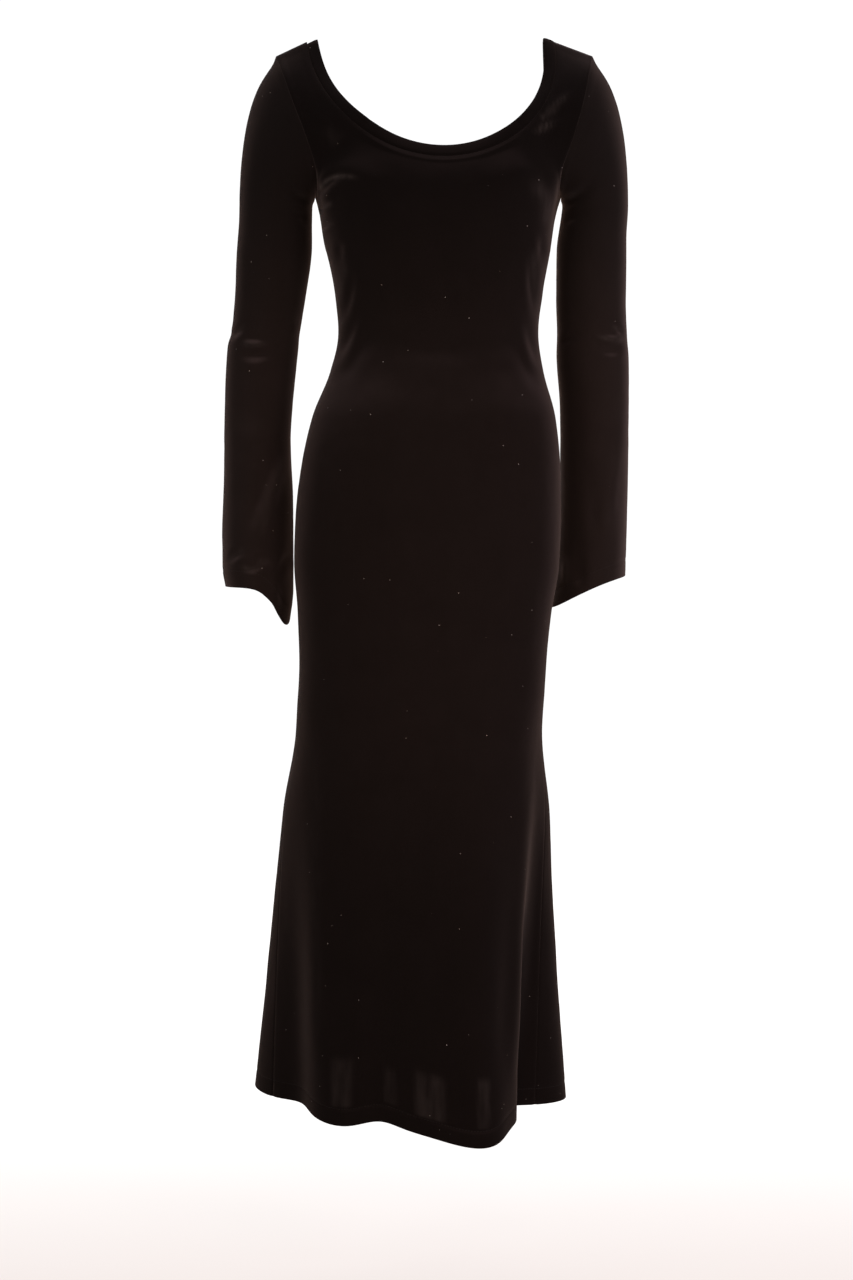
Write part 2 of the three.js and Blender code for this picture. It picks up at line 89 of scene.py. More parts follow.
# Where the shoulder strap starts: row of the armhole tables, and share of the neck seam on each side
NOTCH_ROW = 2
NECK_SIDE = 0.27

# Sleeve caps, and how strongly the chest and the straps follow what they are sewn to
CUFF_START = 480
CAP_FULLNESS = {"underarm": 0.5, "shoulder": 0.85}
CAP_SLOPE = 0.6
CAP_FALL = 0.7
CHEST_PULL = {"body": 0.9, "seam": 0.7}
STRAP_PULL = {"chest": 0.8, "shoulder": 0.9}
STRAP_BOW = {"start": 1.1, "end": 1.0}

# Ways the cloth runs: out from the middle, towards the other panel, and up
UNDERARM_WAY = (0.45, 0.0, 0.89)
STRAP_WAY = (0.38, 0.35, 0.86)
SHOULDER_WAY = (0.1, 0.98, 0.2)
NECK_WAY = (0.0, 0.32, 0.95)
NOTCH_LEAVE = (-0.75, -0.65, 0.1)
NECK_ARRIVE = (-0.95, -0.25, 0.2)


def hermite(start, start_pull, end, end_pull, part):
    """Smooth way from a start to an end, with the pull at each."""
    square = part * part
    cube = square * part
    at_start = 2 * cube - 3 * square + 1
    at_start_pull = cube - 2 * square + part
    at_end_pull = cube - square
    return at_start * start + at_start_pull * start_pull + (1 - at_start) * end + at_end_pull * end_pull


class Table:
    """Rows of named columns, read at any value of the first column by a monotone cubic."""

    def __init__(self, columns, rows):
        self.columns = columns
        self.values = np.array(rows, float)
        self.places = self.values[:, 0]
        rises = np.diff(self.values, axis=0) / np.diff(self.places)[:, None]
        both = rises[:-1] * rises[1:]
        total = np.where(both > 0, rises[:-1] + rises[1:], 1)
        inner = np.where(both > 0, 2 * both / total, 0)
        self.slopes = np.vstack([rises[:1], inner, rises[-1:]])

    def at(self, places):
        places = np.asarray(places, float)
        low = np.clip(np.searchsorted(self.places, places) - 1, 0, len(self.places) - 2)
        step = (self.places[low + 1] - self.places[low])[..., None]
        part = np.clip((places - self.places[low])[..., None] / step, 0, 1)
        pulls = [self.slopes[low] * step, self.slopes[low + 1] * step]
        read = hermite(self.values[low], pulls[0], self.values[low + 1], pulls[1], part)
        return {name: read[..., i] for i, name in enumerate(self.columns)}


# Body sections from under the bust to the hem
BODY = Table(("down", "left", "right", "front", "back", "square"), [
    (225, -139, 147, -126, 96, 2.3),
    (260, -126, 141, -115, 93, 2.3),
    (310, -116, 132, -101, 87, 2.2),
    (357, -112, 127, -93, 84, 2.2),
    (400, -121, 133, -97, 91, 2.2),
    (458, -144, 148, -105, 105, 2.2),
    (516, -157, 154, -110, 117, 2.2),
    (574, -164, 155, -112, 123, 2.2),
    (632, -166, 153, -112, 123, 2.2),
    (690, -162, 144, -111, 119, 2.2),
    (748, -160, 138, -111, 115, 2.2),
    (835, -165, 134, -113, 112, 2.2),
    (937, -183, 143, -116, 118, 2.1),
    (1097, -199, 146, -122, 132, 2.0),
    (1298, -216, 152, -128, 146, 2.0),
])

# Skirt folds: place round the body in degrees from the centre front, half width, reach and drop at the hem,
# and the distance down at which each starts
FOLDS = [
    {"name": "front lip", "turn": 24, "spread": 18, "reach": 33, "drop": 15, "start": 760},
    {"name": "groove behind the lip", "turn": 75, "spread": 25, "reach": -60, "drop": -6, "start": 790},
    {"name": "right flare", "turn": 117, "spread": 28, "reach": 32, "drop": 0, "start": 740},
    {"name": "front trough", "turn": -10, "spread": 13, "reach": -8, "drop": -10, "start": 800},
    {"name": "left hollow", "turn": -69, "spread": 39, "reach": -46, "drop": -14, "start": 800},
    {"name": "left flare", "turn": -117, "spread": 31, "reach": 24, "drop": -16, "start": 760},
    {"name": "back right hollow", "turn": 142, "spread": 16, "reach": -26, "drop": 0, "start": 800},
    {"name": "back ridge", "turn": 168, "spread": 18, "reach": 22, "drop": 0, "start": 780},
    {"name": "back hollow", "turn": -162, "spread": 16, "reach": -30, "drop": 0, "start": 820},
]
FOLD_GROWTH = 1.15
FOLD_SOFTNESS = 1.6

# Lean of the upper body to the right
LEAN = Table(("down", "shift"), [(-10, 0), (60, 5), (130, 9), (200, 7)])

# Armhole seams from underarm to shoulder: half width, depth and distance down
FRONT_ARMHOLE = [
    (147, 8, 194),
    (144, -28, 184),
    (146, -52, 163),
    (157, -64, 130),
    (170, -58, 92),
    (182, -32, 50),
    (189, 3, 26),
]
BACK_ARMHOLE = [
    (147, 8, 194),
    (150, 44, 178),
    (158, 62, 150),
    (168, 68, 115),
    (178, 60, 78),
    (186, 36, 44),
    (189, 3, 26),
]

# Sleeve sections from the top of the arm to the cuff
SLEEVE_COLUMNS = ("down", "x", "y", "half", "deep")
LEFT_SLEEVE = Table(SLEEVE_COLUMNS, [
    (206, -188, 10, 44, 50),
    (255, -190.5, 16, 44.5, 47),
    (312, -196, 23, 42, 44),
    (355, -202, 28, 41, 43),
    (370, -205, 29, 42.5, 43),
    (442, -210.5, 27, 40.5, 43),
    (486, -212, 25, 40, 46),
    (544, -211, 24, 41.5, 51),
    (603, -212, 24, 42.5, 57),
    (639, -212, 24, 42.5, 60),
    (661, -212, 24, 39, 61),
])
RIGHT_SLEEVE = Table(SLEEVE_COLUMNS, [
    (206, 197, 14, 40, 50),
    (254, 193, 22, 41.5, 47),
    (311, 193, 33, 41.5, 44),
    (354, 195, 42, 42, 43),
    (383, 196, 46, 43.5, 43),
    (442, 199, 51, 41.5, 44),
    (485, 199.5, 55, 41, 46),
    (544, 199, 59, 41, 51),
    (603, 196, 64, 43, 56),
    (648, 192, 68, 46, 60),
])

# Cuff edge: how much lower than the last section it hangs, by place round the arm from the body side
LEFT_CUFF = {"drop": 46, "turn": 22, "spread": 40}
RIGHT_CUFF = {"drop": 40, "turn": 8, "spread": 88}

# Creases: path (across, down), half width, height (a trough where negative), and the share of its path
# where each is deepest
FRONT_CREASES = [
    (((-118, 166), (-84, 182), (-44, 196)), 20, 3.6, 0.35),
    (((126, 164), (94, 180), (52, 195)), 20, 4.0, 0.35),
    (((-104, 232), (-50, 242), (5, 246), (60, 242), (116, 232)), 26, -2.4, 0.5),
    (((-137, 195), (-112, 179), (-84, 181)), 5.5, -2.6, 0.15),
    (((-137, 211), (-117, 206)), 3.5, -1.6, 0.2),
    (((-134, 236), (-117, 229)), 3.5, -1.4, 0.2),
    (((147, 196), (126, 190), (108, 196)), 9, -1.4, 0.15),
    (((116, 128), (148, 113)), 5, 2.0, 0.4),
    (((122, 138), (152, 124)), 6, -1.6, 0.4),
    (((132, 104), (166, 78)), 5, 2.0, 0.5),
    (((128, 112), (158, 98)), 6, -1.6, 0.5),
    (((-146, 112), (-120, 128)), 5, -1.3, 0.3),
    (((-107, 250), (-111, 286)), 4.5, -1.7, 0.4),
    (((-90, 278), (-98, 318), (-111, 354)), 5.5, -2.2, 0.6),
    (((-82, 320), (-97, 359), (-117, 400)), 6, -2.4, 0.6),
    (((-70, 345), (-90, 388), (-112, 424)), 8, -1.5, 0.6),
    (((115, 255), (118, 308), (126, 349)), 5, -1.9, 0.5),
    (((129, 240), (129, 283)), 4.5, -1.6, 0.5),
    (((107, 336), (120, 377), (129, 407)), 6, -2.2, 0.6),
    (((92, 356), (110, 398), (126, 430)), 8, -1.4, 0.6),
    (((-40, 330), (0, 340), (48, 334)), 12, -0.9, 0.5),
    (((-56, 372), (-6, 384), (60, 376)), 14, -0.8, 0.5),
    (((-166, 496), (-146, 491)), 3.5, -1.3, 0.2),
    (((-168, 516), (-147, 513)), 3.0, -1.2, 0.2),
    (((-169, 538), (-151, 533)), 3.5, -1.2, 0.2),
    (((-169, 560), (-150, 558)), 3.0, -1.0, 0.2),
    (((-139, 800), (-138, 1023), (-136, 1262)), 14, 3.6, 0.8),
    (((-104, 960), (-98, 1120), (-96, 1290)), 13, -1.4, 0.9),
    (((127, 830), (117, 920), (108, 1088), (90, 1296)), 9, 3.0, 0.7),
    (((96, 900), (82, 1080), (66, 1296)), 16, -1.2, 0.9),
    (((-58, 930), (-64, 1090), (-66, 1292)), 15, -1.1, 0.9),
    (((-28, 990), (-22, 1140), (-18, 1294)), 14, 0.9, 0.9),
    (((14, 1010), (22, 1150), (30, 1296)), 15, -0.9, 0.9),
]
BACK_CREASES = [
    (((-140, 196), (-116, 184), (-92, 188)), 5.5, -2.4, 0.15),
    (((-138, 214), (-118, 210)), 3.5, -1.5, 0.2),
    (((148, 194), (124, 182), (98, 186)), 5.5, -2.4, 0.15),
    (((146, 212), (126, 207)), 3.5, -1.5, 0.2),
    (((-158, 126), (-134, 140)), 5, -1.4, 0.3),
    (((164, 120), (140, 136)), 5, -1.4, 0.3),
    (((-108, 292), (-70, 304), (-30, 300)), 7, -2.0, 0.25),
    (((-112, 322), (-64, 338), (-10, 332)), 8, -2.4, 0.3),
    (((-110, 352), (-72, 362), (-36, 358)), 7, -1.9, 0.25),
    (((128, 300), (92, 314), (52, 310)), 7, -2.2, 0.25),
    (((126, 334), (84, 350), (28, 346)), 8, -2.3, 0.3),
    (((128, 368), (96, 378), (60, 372)), 7, -1.7, 0.25),
    (((-60, 316), (0, 324), (66, 318)), 11, -1.3, 0.5),
    (((-140, 640), (-92, 662), (-44, 664)), 10, -1.8, 0.3),
    (((140, 646), (96, 668), (54, 668)), 10, -1.6, 0.3),
    (((-84, 760), (-104, 980), (-124, 1290)), 16, 3.4, 0.9),
    (((-44, 800), (-52, 1040), (-58, 1292)), 15, -3.2, 0.9),
    (((60, 820), (74, 1040), (84, 1292)), 16, 3.0, 0.9),
    (((104, 860), (118, 1080), (124, 1290)), 14, -2.6, 0.9),
    (((8, 900), (12, 1090), (16, 1292)), 14, 2.2, 0.9),
]
LEFT_SLEEVE_FRONT_CREASES = [
    (((-148, 204), (-170, 190), (-186, 160)), 6, -2.6, 0.2),
    (((-150, 222), (-174, 212)), 4.5, -1.8, 0.2),
    (((-232, 368), (-214, 371), (-196, 369)), 4, 2.0, 0.5),
    (((-236, 380), (-212, 384), (-186, 378)), 6, -2.0, 0.5),
    (((-243, 360), (-222, 346)), 4, -1.9, 0.3),
    (((-166, 352), (-186, 346), (-204, 350)), 5, -1.6, 0.2),
    (((-178, 488), (-190, 540), (-207, 612)), 6.5, 2.2, 0.5),
    (((-194, 500), (-210, 560), (-222, 606)), 7, -1.6, 0.5),
    (((-223, 612), (-250, 635)), 4.5, -1.9, 0.5),
    (((-236, 636), (-212, 638), (-204, 629), (-188, 634)), 4, -1.8, 0.5),
    (((-170, 617), (-188, 648)), 4.5, -1.8, 0.4),
    (((-190, 648), (-190, 700)), 5, 2.0, 0.5),
]
LEFT_SLEEVE_BACK_CREASES = [
    (((-150, 206), (-172, 196), (-190, 172)), 6, -2.4, 0.2),
    (((-240, 352), (-210, 362), (-176, 352)), 5, -2.4, 0.5),
    (((-236, 374), (-208, 384), (-180, 376)), 5, -2.2, 0.5),
    (((-238, 334), (-214, 342), (-190, 336)), 4.5, -1.6, 0.5),
    (((-232, 520), (-222, 590), (-226, 656)), 8, 2.0, 0.7),
    (((-200, 530), (-198, 600), (-192, 660)), 8, -1.8, 0.7),
]
RIGHT_SLEEVE_FRONT_CREASES = [
    (((158, 204), (182, 190), (198, 162)), 6, -2.6, 0.2),
    (((158, 224), (184, 214)), 4.5, -1.8, 0.2),
    (((194, 358), (216, 363), (234, 361)), 4, 2.0, 0.6),
    (((192, 371), (214, 377), (234, 373)), 5.5, -2.0, 0.6),
    (((216, 347), (233, 354)), 3.5, -1.7, 0.6),
    (((155, 368), (182, 353)), 4.5, -1.6, 0.3),
    (((226, 470), (218, 540), (214, 610)), 7, 1.7, 0.6),
    (((190, 500), (196, 570), (202, 620)), 7, -1.6, 0.6),
    (((165, 622), (163, 664)), 4, 1.8, 0.5),
    (((178, 600), (180, 668)), 6, -1.6, 0.7),
]
RIGHT_SLEEVE_BACK_CREASES = [
    (((156, 206), (180, 196), (196, 172)), 6, -2.4, 0.2),
    (((164, 362), (196, 372), (230, 360)), 5, -2.4, 0.5),
    (((168, 386), (198, 394), (226, 384)), 5, -2.1, 0.5),
    (((172, 342), (198, 350), (224, 344)), 4.5, -1.6, 0.5),
    (((212, 530), (216, 600), (214, 650)), 8, 2.0, 0.7),
    (((182, 540), (178, 600), (174, 655)), 8, -1.8, 0.7),
]

# Painted highlights: light streaks along sharp creases and folds, where they catch the light: path (across,
# down), half width, strength, and the share of its path where each is lightest
FRONT_STREAKS = [
    (((-140, 197), (-129, 184), (-112, 178), (-82, 183)), 2.5, 1.4, 0.5),
    (((-136, 214), (-114, 207)), 3.0, 0.7, 0.4),
    (((-135, 238), (-113, 230)), 3.0, 0.6, 0.4),
    (((114, 129), (148, 113)), 2.6, 0.7, 0.3),
    (((124, 112), (152, 96)), 2.6, 0.4, 0.3),
    (((130, 105), (166, 76)), 2.6, 0.5, 0.4),
    (((-130, 122), (-104, 140)), 8.0, 0.2, 0.5),
    (((112, 178), (130, 200), (138, 240)), 9.0, 0.45, 0.6),
    (((-99, 268), (-108, 306), (-113, 338)), 3.5, 0.35, 0.5),
    (((118, 252), (121, 300), (127, 344)), 3.5, 0.4, 0.5),
    (((-136, 820), (-138, 1023), (-136, 1240)), 6.0, 0.15, 0.4),
    (((129, 790), (120, 920), (109, 1088), (94, 1290)), 3.0, 0.3, 0.5),
]
LEFT_SLEEVE_STREAKS = [
    (((-234, 368), (-214, 371), (-194, 368)), 2.8, 0.4, 0.5),
    (((-243, 358), (-222, 345)), 2.8, 0.35, 0.3),
    (((-176, 486), (-190, 540), (-207, 612)), 4.0, 0.4, 0.5),
    (((-222, 612), (-250, 634)), 3.0, 0.5, 0.5),
    (((-236, 636), (-212, 638), (-204, 629), (-188, 634)), 3.0, 0.5, 0.5),
]
RIGHT_SLEEVE_STREAKS = [
    (((194, 358), (216, 363), (236, 361)), 2.6, 0.6, 0.6),
    (((214, 346), (233, 353)), 2.6, 0.4, 0.6),
    (((226, 470), (218, 540), (214, 610)), 7.0, 0.12, 0.6),
    (((164, 618), (163, 664)), 3.0, 0.5, 0.5),
]

# Creases of each piece on its front and back faces, and painted highlight streaks, which show on front
# faces alone
CREASES = {
    "front": {"front": FRONT_CREASES},
    "back": {"back": BACK_CREASES},
    "sleeve_left": {"front": LEFT_SLEEVE_FRONT_CREASES, "back": LEFT_SLEEVE_BACK_CREASES},
    "sleeve_right": {"front": RIGHT_SLEEVE_FRONT_CREASES, "back": RIGHT_SLEEVE_BACK_CREASES},
}
HIGHLIGHT_STREAKS = {
    "front": FRONT_STREAKS,
    "sleeve_left": LEFT_SLEEVE_STREAKS,
    "sleeve_right": RIGHT_SLEEVE_STREAKS,
}

# How a crease stands: its flanks, the steps of its path, and the slopes where its face turns into view
CREASE_FLANK = {"place": 1.9, "height": 0.32}
CREASE_SAMPLES = 12
FACE_TURN = (-0.2, 0.3)
STREAK_HOLD = 2.2

# Seams: where creases fade out, the raised ridge, the painted highlight along them, and where the side
# seams lie flat
SEAM_FADE = 12
SEAM_RIDGE = {"place": 4.5, "half": 2.6, "height": 0.8}
SEAM_HIGHLIGHT = 0.8
SIDE_SEAM_FLAT = (200, 235)

# Unevenness of hanging cloth
UNEVEN = {"height": 0.7, "size": 70, "small_height": 0.16, "small_size": 16}

# Pile crushed by the turned-up hem: middle across, half width, lowest and highest above the edge, strength
HEM_CRUSH = [
    (-106, 13, 22, 84, 0.46),
    (-48, 7, 24, 70, 0.36),
    (-2, 17, 22, 80, 0.5),
    (60, 7, 22, 84, 0.46),
]
CRUSH_EDGE = {"square": 8, "low": 2, "high": 12}
HEM_GROOVE = {"rise": 19.5, "half": 2.2, "depth": 0.45}


def evenly(points, steps):
    """Points of a polyline at even shares of its length."""
    gaps = np.linalg.norm(np.diff(points, axis=0), axis=1)
    along = np.concatenate([[0], np.cumsum(gaps)])
    goals = np.linspace(0, along[-1], steps + 1)
    return np.stack([np.interp(goals, along, column) for column in points.T], axis=1)


def stretch(curve, start, end, steps):
    """A curve between two of its shares, stepped evenly."""
    return evenly(curve(np.linspace(start, end, CURVE_SAMPLES + 1)), steps)


def bent(values, power):
    """A power that keeps the sign."""
    return np.sign(values) * np.abs(values) ** power


def around(degrees, middle):
    """Signed angle from a middle, between half a turn back and half a turn on."""
    return (degrees - middle + 180) % 360 - 180


def folds_at(down, degrees):
    """How far out the folds stand together at each place, and how much lower they hang."""
    reach, drop = 0, 0
    for fold in FOLDS:
        off = around(degrees, fold["turn"]) / fold["spread"]
        grown = np.clip((down - fold["start"]) / (HEM_DOWN - fold["start"]), 0, 1)
        share = grown ** FOLD_GROWTH * np.exp(-FOLD_SOFTNESS * off * off)
        reach = reach + fold["reach"] * share
        drop = drop + fold["drop"] * share
    return reach, drop


def body_points(down, turn):
    """Points of a body section: turn is 0 at the centre front, a quarter turn at the right side seam."""
    row = BODY.at(down)
    power = 2 / row["square"]
    across = bent(np.sin(turn), power) * (row["right"] - row["left"]) / 2
    along = bent(np.cos(turn), power)
    depth = np.where(along > 0, along * row["front"], -along * row["back"])
    reach, drop = folds_at(down, np.degrees(turn))
    grow = 1 + reach / np.hypot(across, depth)
    middle = (row["left"] + row["right"]) / 2
    return np.stack([across * grow + middle, depth * grow, -down - drop], axis=1)


def body_half(down, is_front, steps):
    """Half of a body section from the left side seam to the right one, as seen from the front."""
    def curve(shares):
        part = (shares - 0.5) * math.pi
        return body_points(down, part if is_front else math.pi - part)
    return stretch(curve, 0, 1, steps)


def armhole_curve(rows, side):
    """Smooth seam through an armhole's rows, by the share of the way from underarm to shoulder."""
    half, depth, down = np.array(rows, float).T
    corners = np.stack([side * half + LEAN.at(down)["shift"], depth, -down], axis=1)
    run = np.vstack([2 * corners[0] - corners[1], corners, 2 * corners[-1] - corners[-2]])
    knots = np.sqrt(np.linalg.norm(np.diff(run, axis=0), axis=1))

    def at(shares):
        place = shares * (len(corners) - 1)
        low = np.clip(place.astype(int), 0, len(corners) - 2)
        before, first, second, after = (run[low + k] for k in range(4))
        gaps = [knots[low + k][:, None] for k in range(3)]
        chord = (second - first) / gaps[1]
        leave = (first - before) / gaps[0] - (second - before) / (gaps[0] + gaps[1]) + chord
        arrive = chord - (after - first) / (gaps[1] + gaps[2]) + (after - second) / gaps[2]
        return hermite(first, leave * gaps[1], second, arrive * gaps[1], (place - low)[:, None])
    return at


def armhole_points(rows, side):
    """Armhole seam points below the notch and above it."""
    curve = armhole_curve(rows, side)
    notch = NOTCH_ROW / (len(rows) - 1)
    return stretch(curve, 0, notch, LOW_ARMHOLE_STEPS), stretch(curve, notch, 1, STRAP_ROWS)


def neck_curve(neck):
    """Neck seam of a panel: share 0 at the left shoulder, 1 at the right one."""
    def at(shares):
        angle = shares * math.pi
        sunk = np.abs(np.sin(angle)) ** (2 / neck["round"])
        half = -bent(np.cos(angle), 2 / neck["round"])
        depth = SHOULDER_DEPTH + (neck["reach"] - SHOULDER_DEPTH) * sunk ** neck["forward"]
        lean = LEAN.at(neck["drop"] * sunk - NECK_TOP)["shift"] + NECK_SHIFT + neck["sway"] * sunk
        return np.stack([half * NECK_HALF + lean, depth, NECK_TOP - neck["drop"] * sunk], axis=1)
    return at


def neck_points(neck):
    """Neck seam points of the left side, the bottom of the scoop and the right side."""
    curve = neck_curve(neck)
    left = stretch(curve, 0, NECK_SIDE, STRAP_ROWS)
    scoop = stretch(curve, NECK_SIDE, 1 - NECK_SIDE, NECK_STEPS)
    right = stretch(curve, 1 - NECK_SIDE, 1, STRAP_ROWS)
    return left, scoop, right


def unit(vectors):
    """Vectors of length 1 in the same directions."""
    return vectors / np.maximum(np.linalg.norm(vectors, axis=-1, keepdims=True), LEAST_LENGTH)


def way_of(way, side, aft_sign):
    """A way of the cloth, turned to one side and to one panel."""
    return unit(np.array([side * way[0], aft_sign * way[1], way[2]]))


def strap_base(notch, neck, side, aft_sign):
    """Line across the chest where a shoulder strap starts, from the armhole notch to the neck."""
    length = np.linalg.norm(neck - notch)
    leave = way_of(NOTCH_LEAVE, side, aft_sign) * length * STRAP_BOW["start"]
    arrive = way_of(NECK_ARRIVE, side, aft_sign) * length * STRAP_BOW["end"]
    return stretch(lambda shares: hermite(notch, leave, neck, arrive, shares[:, None]), 0, 1, STRAP_STEPS)


def strap_rows(base, top, outer, inner, side, aft_sign):
    """Shoulder strap from the shoulder seam to its base, fitted to the armhole and neck at its sides."""
    length = np.linalg.norm(top - base, axis=1)[:, None]
    leave = way_of(STRAP_WAY, side, aft_sign) * length * STRAP_PULL["chest"]
    arrive = way_of(SHOULDER_WAY, side, aft_sign) * length * STRAP_PULL["shoulder"]
    share = np.linspace(0, 1, STRAP_STEPS + 1)[:, None]
    rows = []
    for row in range(STRAP_ROWS + 1):
        run = hermite(base, leave, top, arrive, row / STRAP_ROWS)
        rows.append(run + (outer[row] - run[0]) * (1 - share) + (inner[row] - run[-1]) * share)
    return rows[::-1]


def skirt_levels():
    """Rows of the tube below the bust, close together above the hem."""
    upper = np.linspace(BUST_BASE, HEM_DOWN - HEM_ZONE, SKIRT_ROWS)
    lower = np.linspace(HEM_DOWN - HEM_ZONE, HEM_DOWN, HEM_ROWS + 1)
    return np.concatenate([upper, lower[1:]])


def chest_edge(low, base, side, aft_sign):
    """Chest line of one side from the underarm to the neck, with the way the cloth runs through it."""
    at_notch = way_of(STRAP_WAY, side, aft_sign)
    share = np.linspace(0, 1, len(low))[:, None] ** UNDERARM_EASE
    low_ways = unit(way_of(UNDERARM_WAY, side, aft_sign) * (1 - share) + at_notch * share)
    points = np.vstack([low, base[1:]])
    ways = np.vstack([low_ways, np.tile(at_notch, (len(base) - 1, 1))])
    return points, ways


def scoop_edge(scoop, aft_sign):
    """Bottom of the neck seam, with the way the cloth runs through it."""
    bend = np.abs(np.linspace(-1, 1, len(scoop)))[:, None] ** 2
    sides = [way_of(STRAP_WAY, side, aft_sign) for side in (-1, 1)]
    at_strap = np.array([sides[0] if i < len(scoop) / 2 else sides[1] for i in range(len(scoop))])
    return scoop, unit(way_of(NECK_WAY, 1, aft_sign) * (1 - bend) + at_strap * bend)


def chest_rows(points, ways, is_front):
    """Rows of the chest, from the chest line down to the bust base."""
    base = body_half(BUST_BASE, is_front, len(points) - 1)
    above = body_half(BUST_BASE - BUST_SLOPE_STEP, is_front, len(points) - 1)
    length = np.linalg.norm(points - base, axis=1)[:, None]
    rise = unit(above - base) * length * CHEST_PULL["body"]
    leave = ways * length * CHEST_PULL["seam"]
    return [hermite(base, rise, points, leave, 1 - row / CHEST_ROWS) for row in range(CHEST_ROWS)]


def place_key(point):
    """Key by which equal points are found."""
    return tuple(int(round(value * KEY_STEPS)) for value in point)


class Cloth:
    """A cloth surface: grids of points joined by four-cornered cells, with equal points shared."""

    def __init__(self):
        self.points = []
        self.cells = []
        self.places = {}
        self.open = set()
        self.grids = []

    def add(self, point):
        """Number of a point, which is new unless an equal one is there."""
        key = place_key(point)
        if key not in self.places:
            self.places[key] = len(self.points)
            self.points.append(point)
        return self.places[key]

    def add_rows(self, rows, closed=False, turned=False, open_end=False):
        """Rows run down the cloth, and columns to the right as seen from outside, or left if turned."""
        ids = np.array([[self.add(point) for point in row] for row in rows])
        near = ids if closed else ids[:, :-1]
        far = np.roll(ids, -1, axis=1) if closed else ids[:, 1:]
        cells = np.stack([near[:-1], near[1:], far[1:], far[:-1]], axis=-1).reshape(-1, 4)
        self.cells.append(cells[:, ::-1] if turned else cells)
        self.grids.append(ids)
        if open_end:
            self.open.update(ids[-1].tolist())

    def close(self):
        """Turns the lists into arrays, and finds the rim: edges of one cell only, the way that it runs."""
        self.points = np.array(self.points)
        self.cells = np.vstack(self.cells)
        starts = self.cells.ravel()
        ends = np.roll(self.cells, -1, axis=1).ravel()
        count = len(self.points)
        alone = ~np.isin(starts * count + ends, ends * count + starts)
        self.rim = np.stack([starts[alone], ends[alone]], axis=1)
        self.rim_points = np.unique(self.rim)
        self.sewn = np.array([a not in self.open or b not in self.open for a, b in self.rim])
        self.find_normals()

    def find_normals(self):
        """Way out of the cloth at each point, from the cells around it."""
        a, b, c, d = (self.points[self.cells[:, k]] for k in range(4))
        cross = np.cross(c - a, d - b)
        self.normals = np.zeros_like(self.points)
        for k in range(4):
            np.add.at(self.normals, self.cells[:, k], cross)
        self.normals = unit(self.normals)

    def relax(self, rounds, share):
        """Evens out the inner points, each by its own share, and leaves the rim in place."""
        edges = np.vstack([self.cells[:, [k, (k + 1) % 4]] for k in range(4)])
        share = share.copy()
        share[self.rim_points] = 0
        counts = np.bincount(edges.ravel(), minlength=len(self.points))[:, None]
        for _ in range(rounds):
            sums = np.zeros_like(self.points)
            np.add.at(sums, edges[:, 0], self.points[edges[:, 1]])
            np.add.at(sums, edges[:, 1], self.points[edges[:, 0]])
            self.points += (sums / counts - self.points) * share[:, None]
        self.find_normals()


def panel(armhole_rows, neck):
    """Front or back panel: two shoulder straps, and the body from the chest line to the hem."""
    is_front = neck["reach"] < 0
    aft_sign = 1 if is_front else -1
    left, scoop, right = neck_points(neck)
    cloth = Cloth()
    edges = []
    for side, neck_side in ((-1, left[::-1]), (1, right)):
        low, high = armhole_points(armhole_rows, side)
        base = strap_base(high[0], neck_side[0], side, aft_sign)
        shoulder_seam = evenly(np.array([high[-1], neck_side[-1]]), STRAP_STEPS)
        rows = strap_rows(base, shoulder_seam, high, neck_side, side, aft_sign)
        cloth.add_rows(rows, turned=is_front == (side > 0))
        edges.append(chest_edge(low, base, side, aft_sign))
    bottom = scoop_edge(scoop, aft_sign)
    points, ways = (np.vstack([edges[0][k], bottom[k][1:-1], edges[1][k][::-1]]) for k in range(2))
    rows = chest_rows(points, ways, is_front)
    rows += [body_half(down, is_front, len(points) - 1) for down in skirt_levels()]
    cloth.add_rows(rows, turned=not is_front, open_end=True)
    cloth.close()
    return cloth


def sleeve(table, side, slant):
    """Sleeve: a cap from the armhole seam to the top of the arm, then rings down to the slanted cuff."""
    front_low, front_high = armhole_points(FRONT_ARMHOLE, side)
    back_low, back_high = armhole_points(BACK_ARMHOLE, side)
    climb = np.vstack([front_low, front_high[1:]])
    fall = np.vstack([back_low, back_high[1:]])[::-1]
    seam = np.vstack([climb, fall[1:-1]])
    turn = np.arange(len(seam)) / len(seam) * 2 * math.pi

    def ring(down):
        row = table.at(down)
        across = row["x"] - side * row["half"] * np.cos(turn)
        return np.stack([across, row["y"] - row["deep"] * np.sin(turn), np.full_like(turn, -down)], axis=1)

    top, cuff = table.places[0], table.places[-1]
    first = ring(top)
    height = ((1 - np.cos(turn)) / 2)[:, None]
    length = np.linalg.norm(first - seam, axis=1)[:, None]
    full = CAP_FULLNESS["underarm"] * (1 - height) + CAP_FULLNESS["shoulder"] * height
    leave = unit(np.hstack([np.full_like(height, side), 0 * height, -CAP_SLOPE * height])) * length * full
    drop = np.array([0, 0, -1]) * length * CAP_FALL
    rows = [hermite(seam, leave, first, drop, row / CAP_ROWS) for row in range(CAP_ROWS)]
    off = around(np.degrees(turn), slant["turn"]) / slant["spread"]
    hang = slant["drop"] * np.exp(-off * off)
    for down in np.linspace(top, cuff, ARM_ROWS):
        points = ring(down)
        points[:, 2] -= hang * max(0, (down - CUFF_START) / (cuff - CUFF_START))
        rows.append(points)
    cloth = Cloth()
    cloth.add_rows(rows, closed=True, turned=side < 0, open_end=True)
    cloth.close()
    return cloth


def hem_rise(cloth):
    """Distance of each point above the open edge of its column, measured along the cloth."""
    rise = np.full(len(cloth.points), FAR_ABOVE)
    grid = cloth.grids[-1]
    steps = np.linalg.norm(np.diff(cloth.points[grid], axis=0), axis=2)
    rise[grid[-1]] = 0
    rise[grid[:-1]] = np.cumsum(steps[::-1], axis=0)[::-1]
    return rise


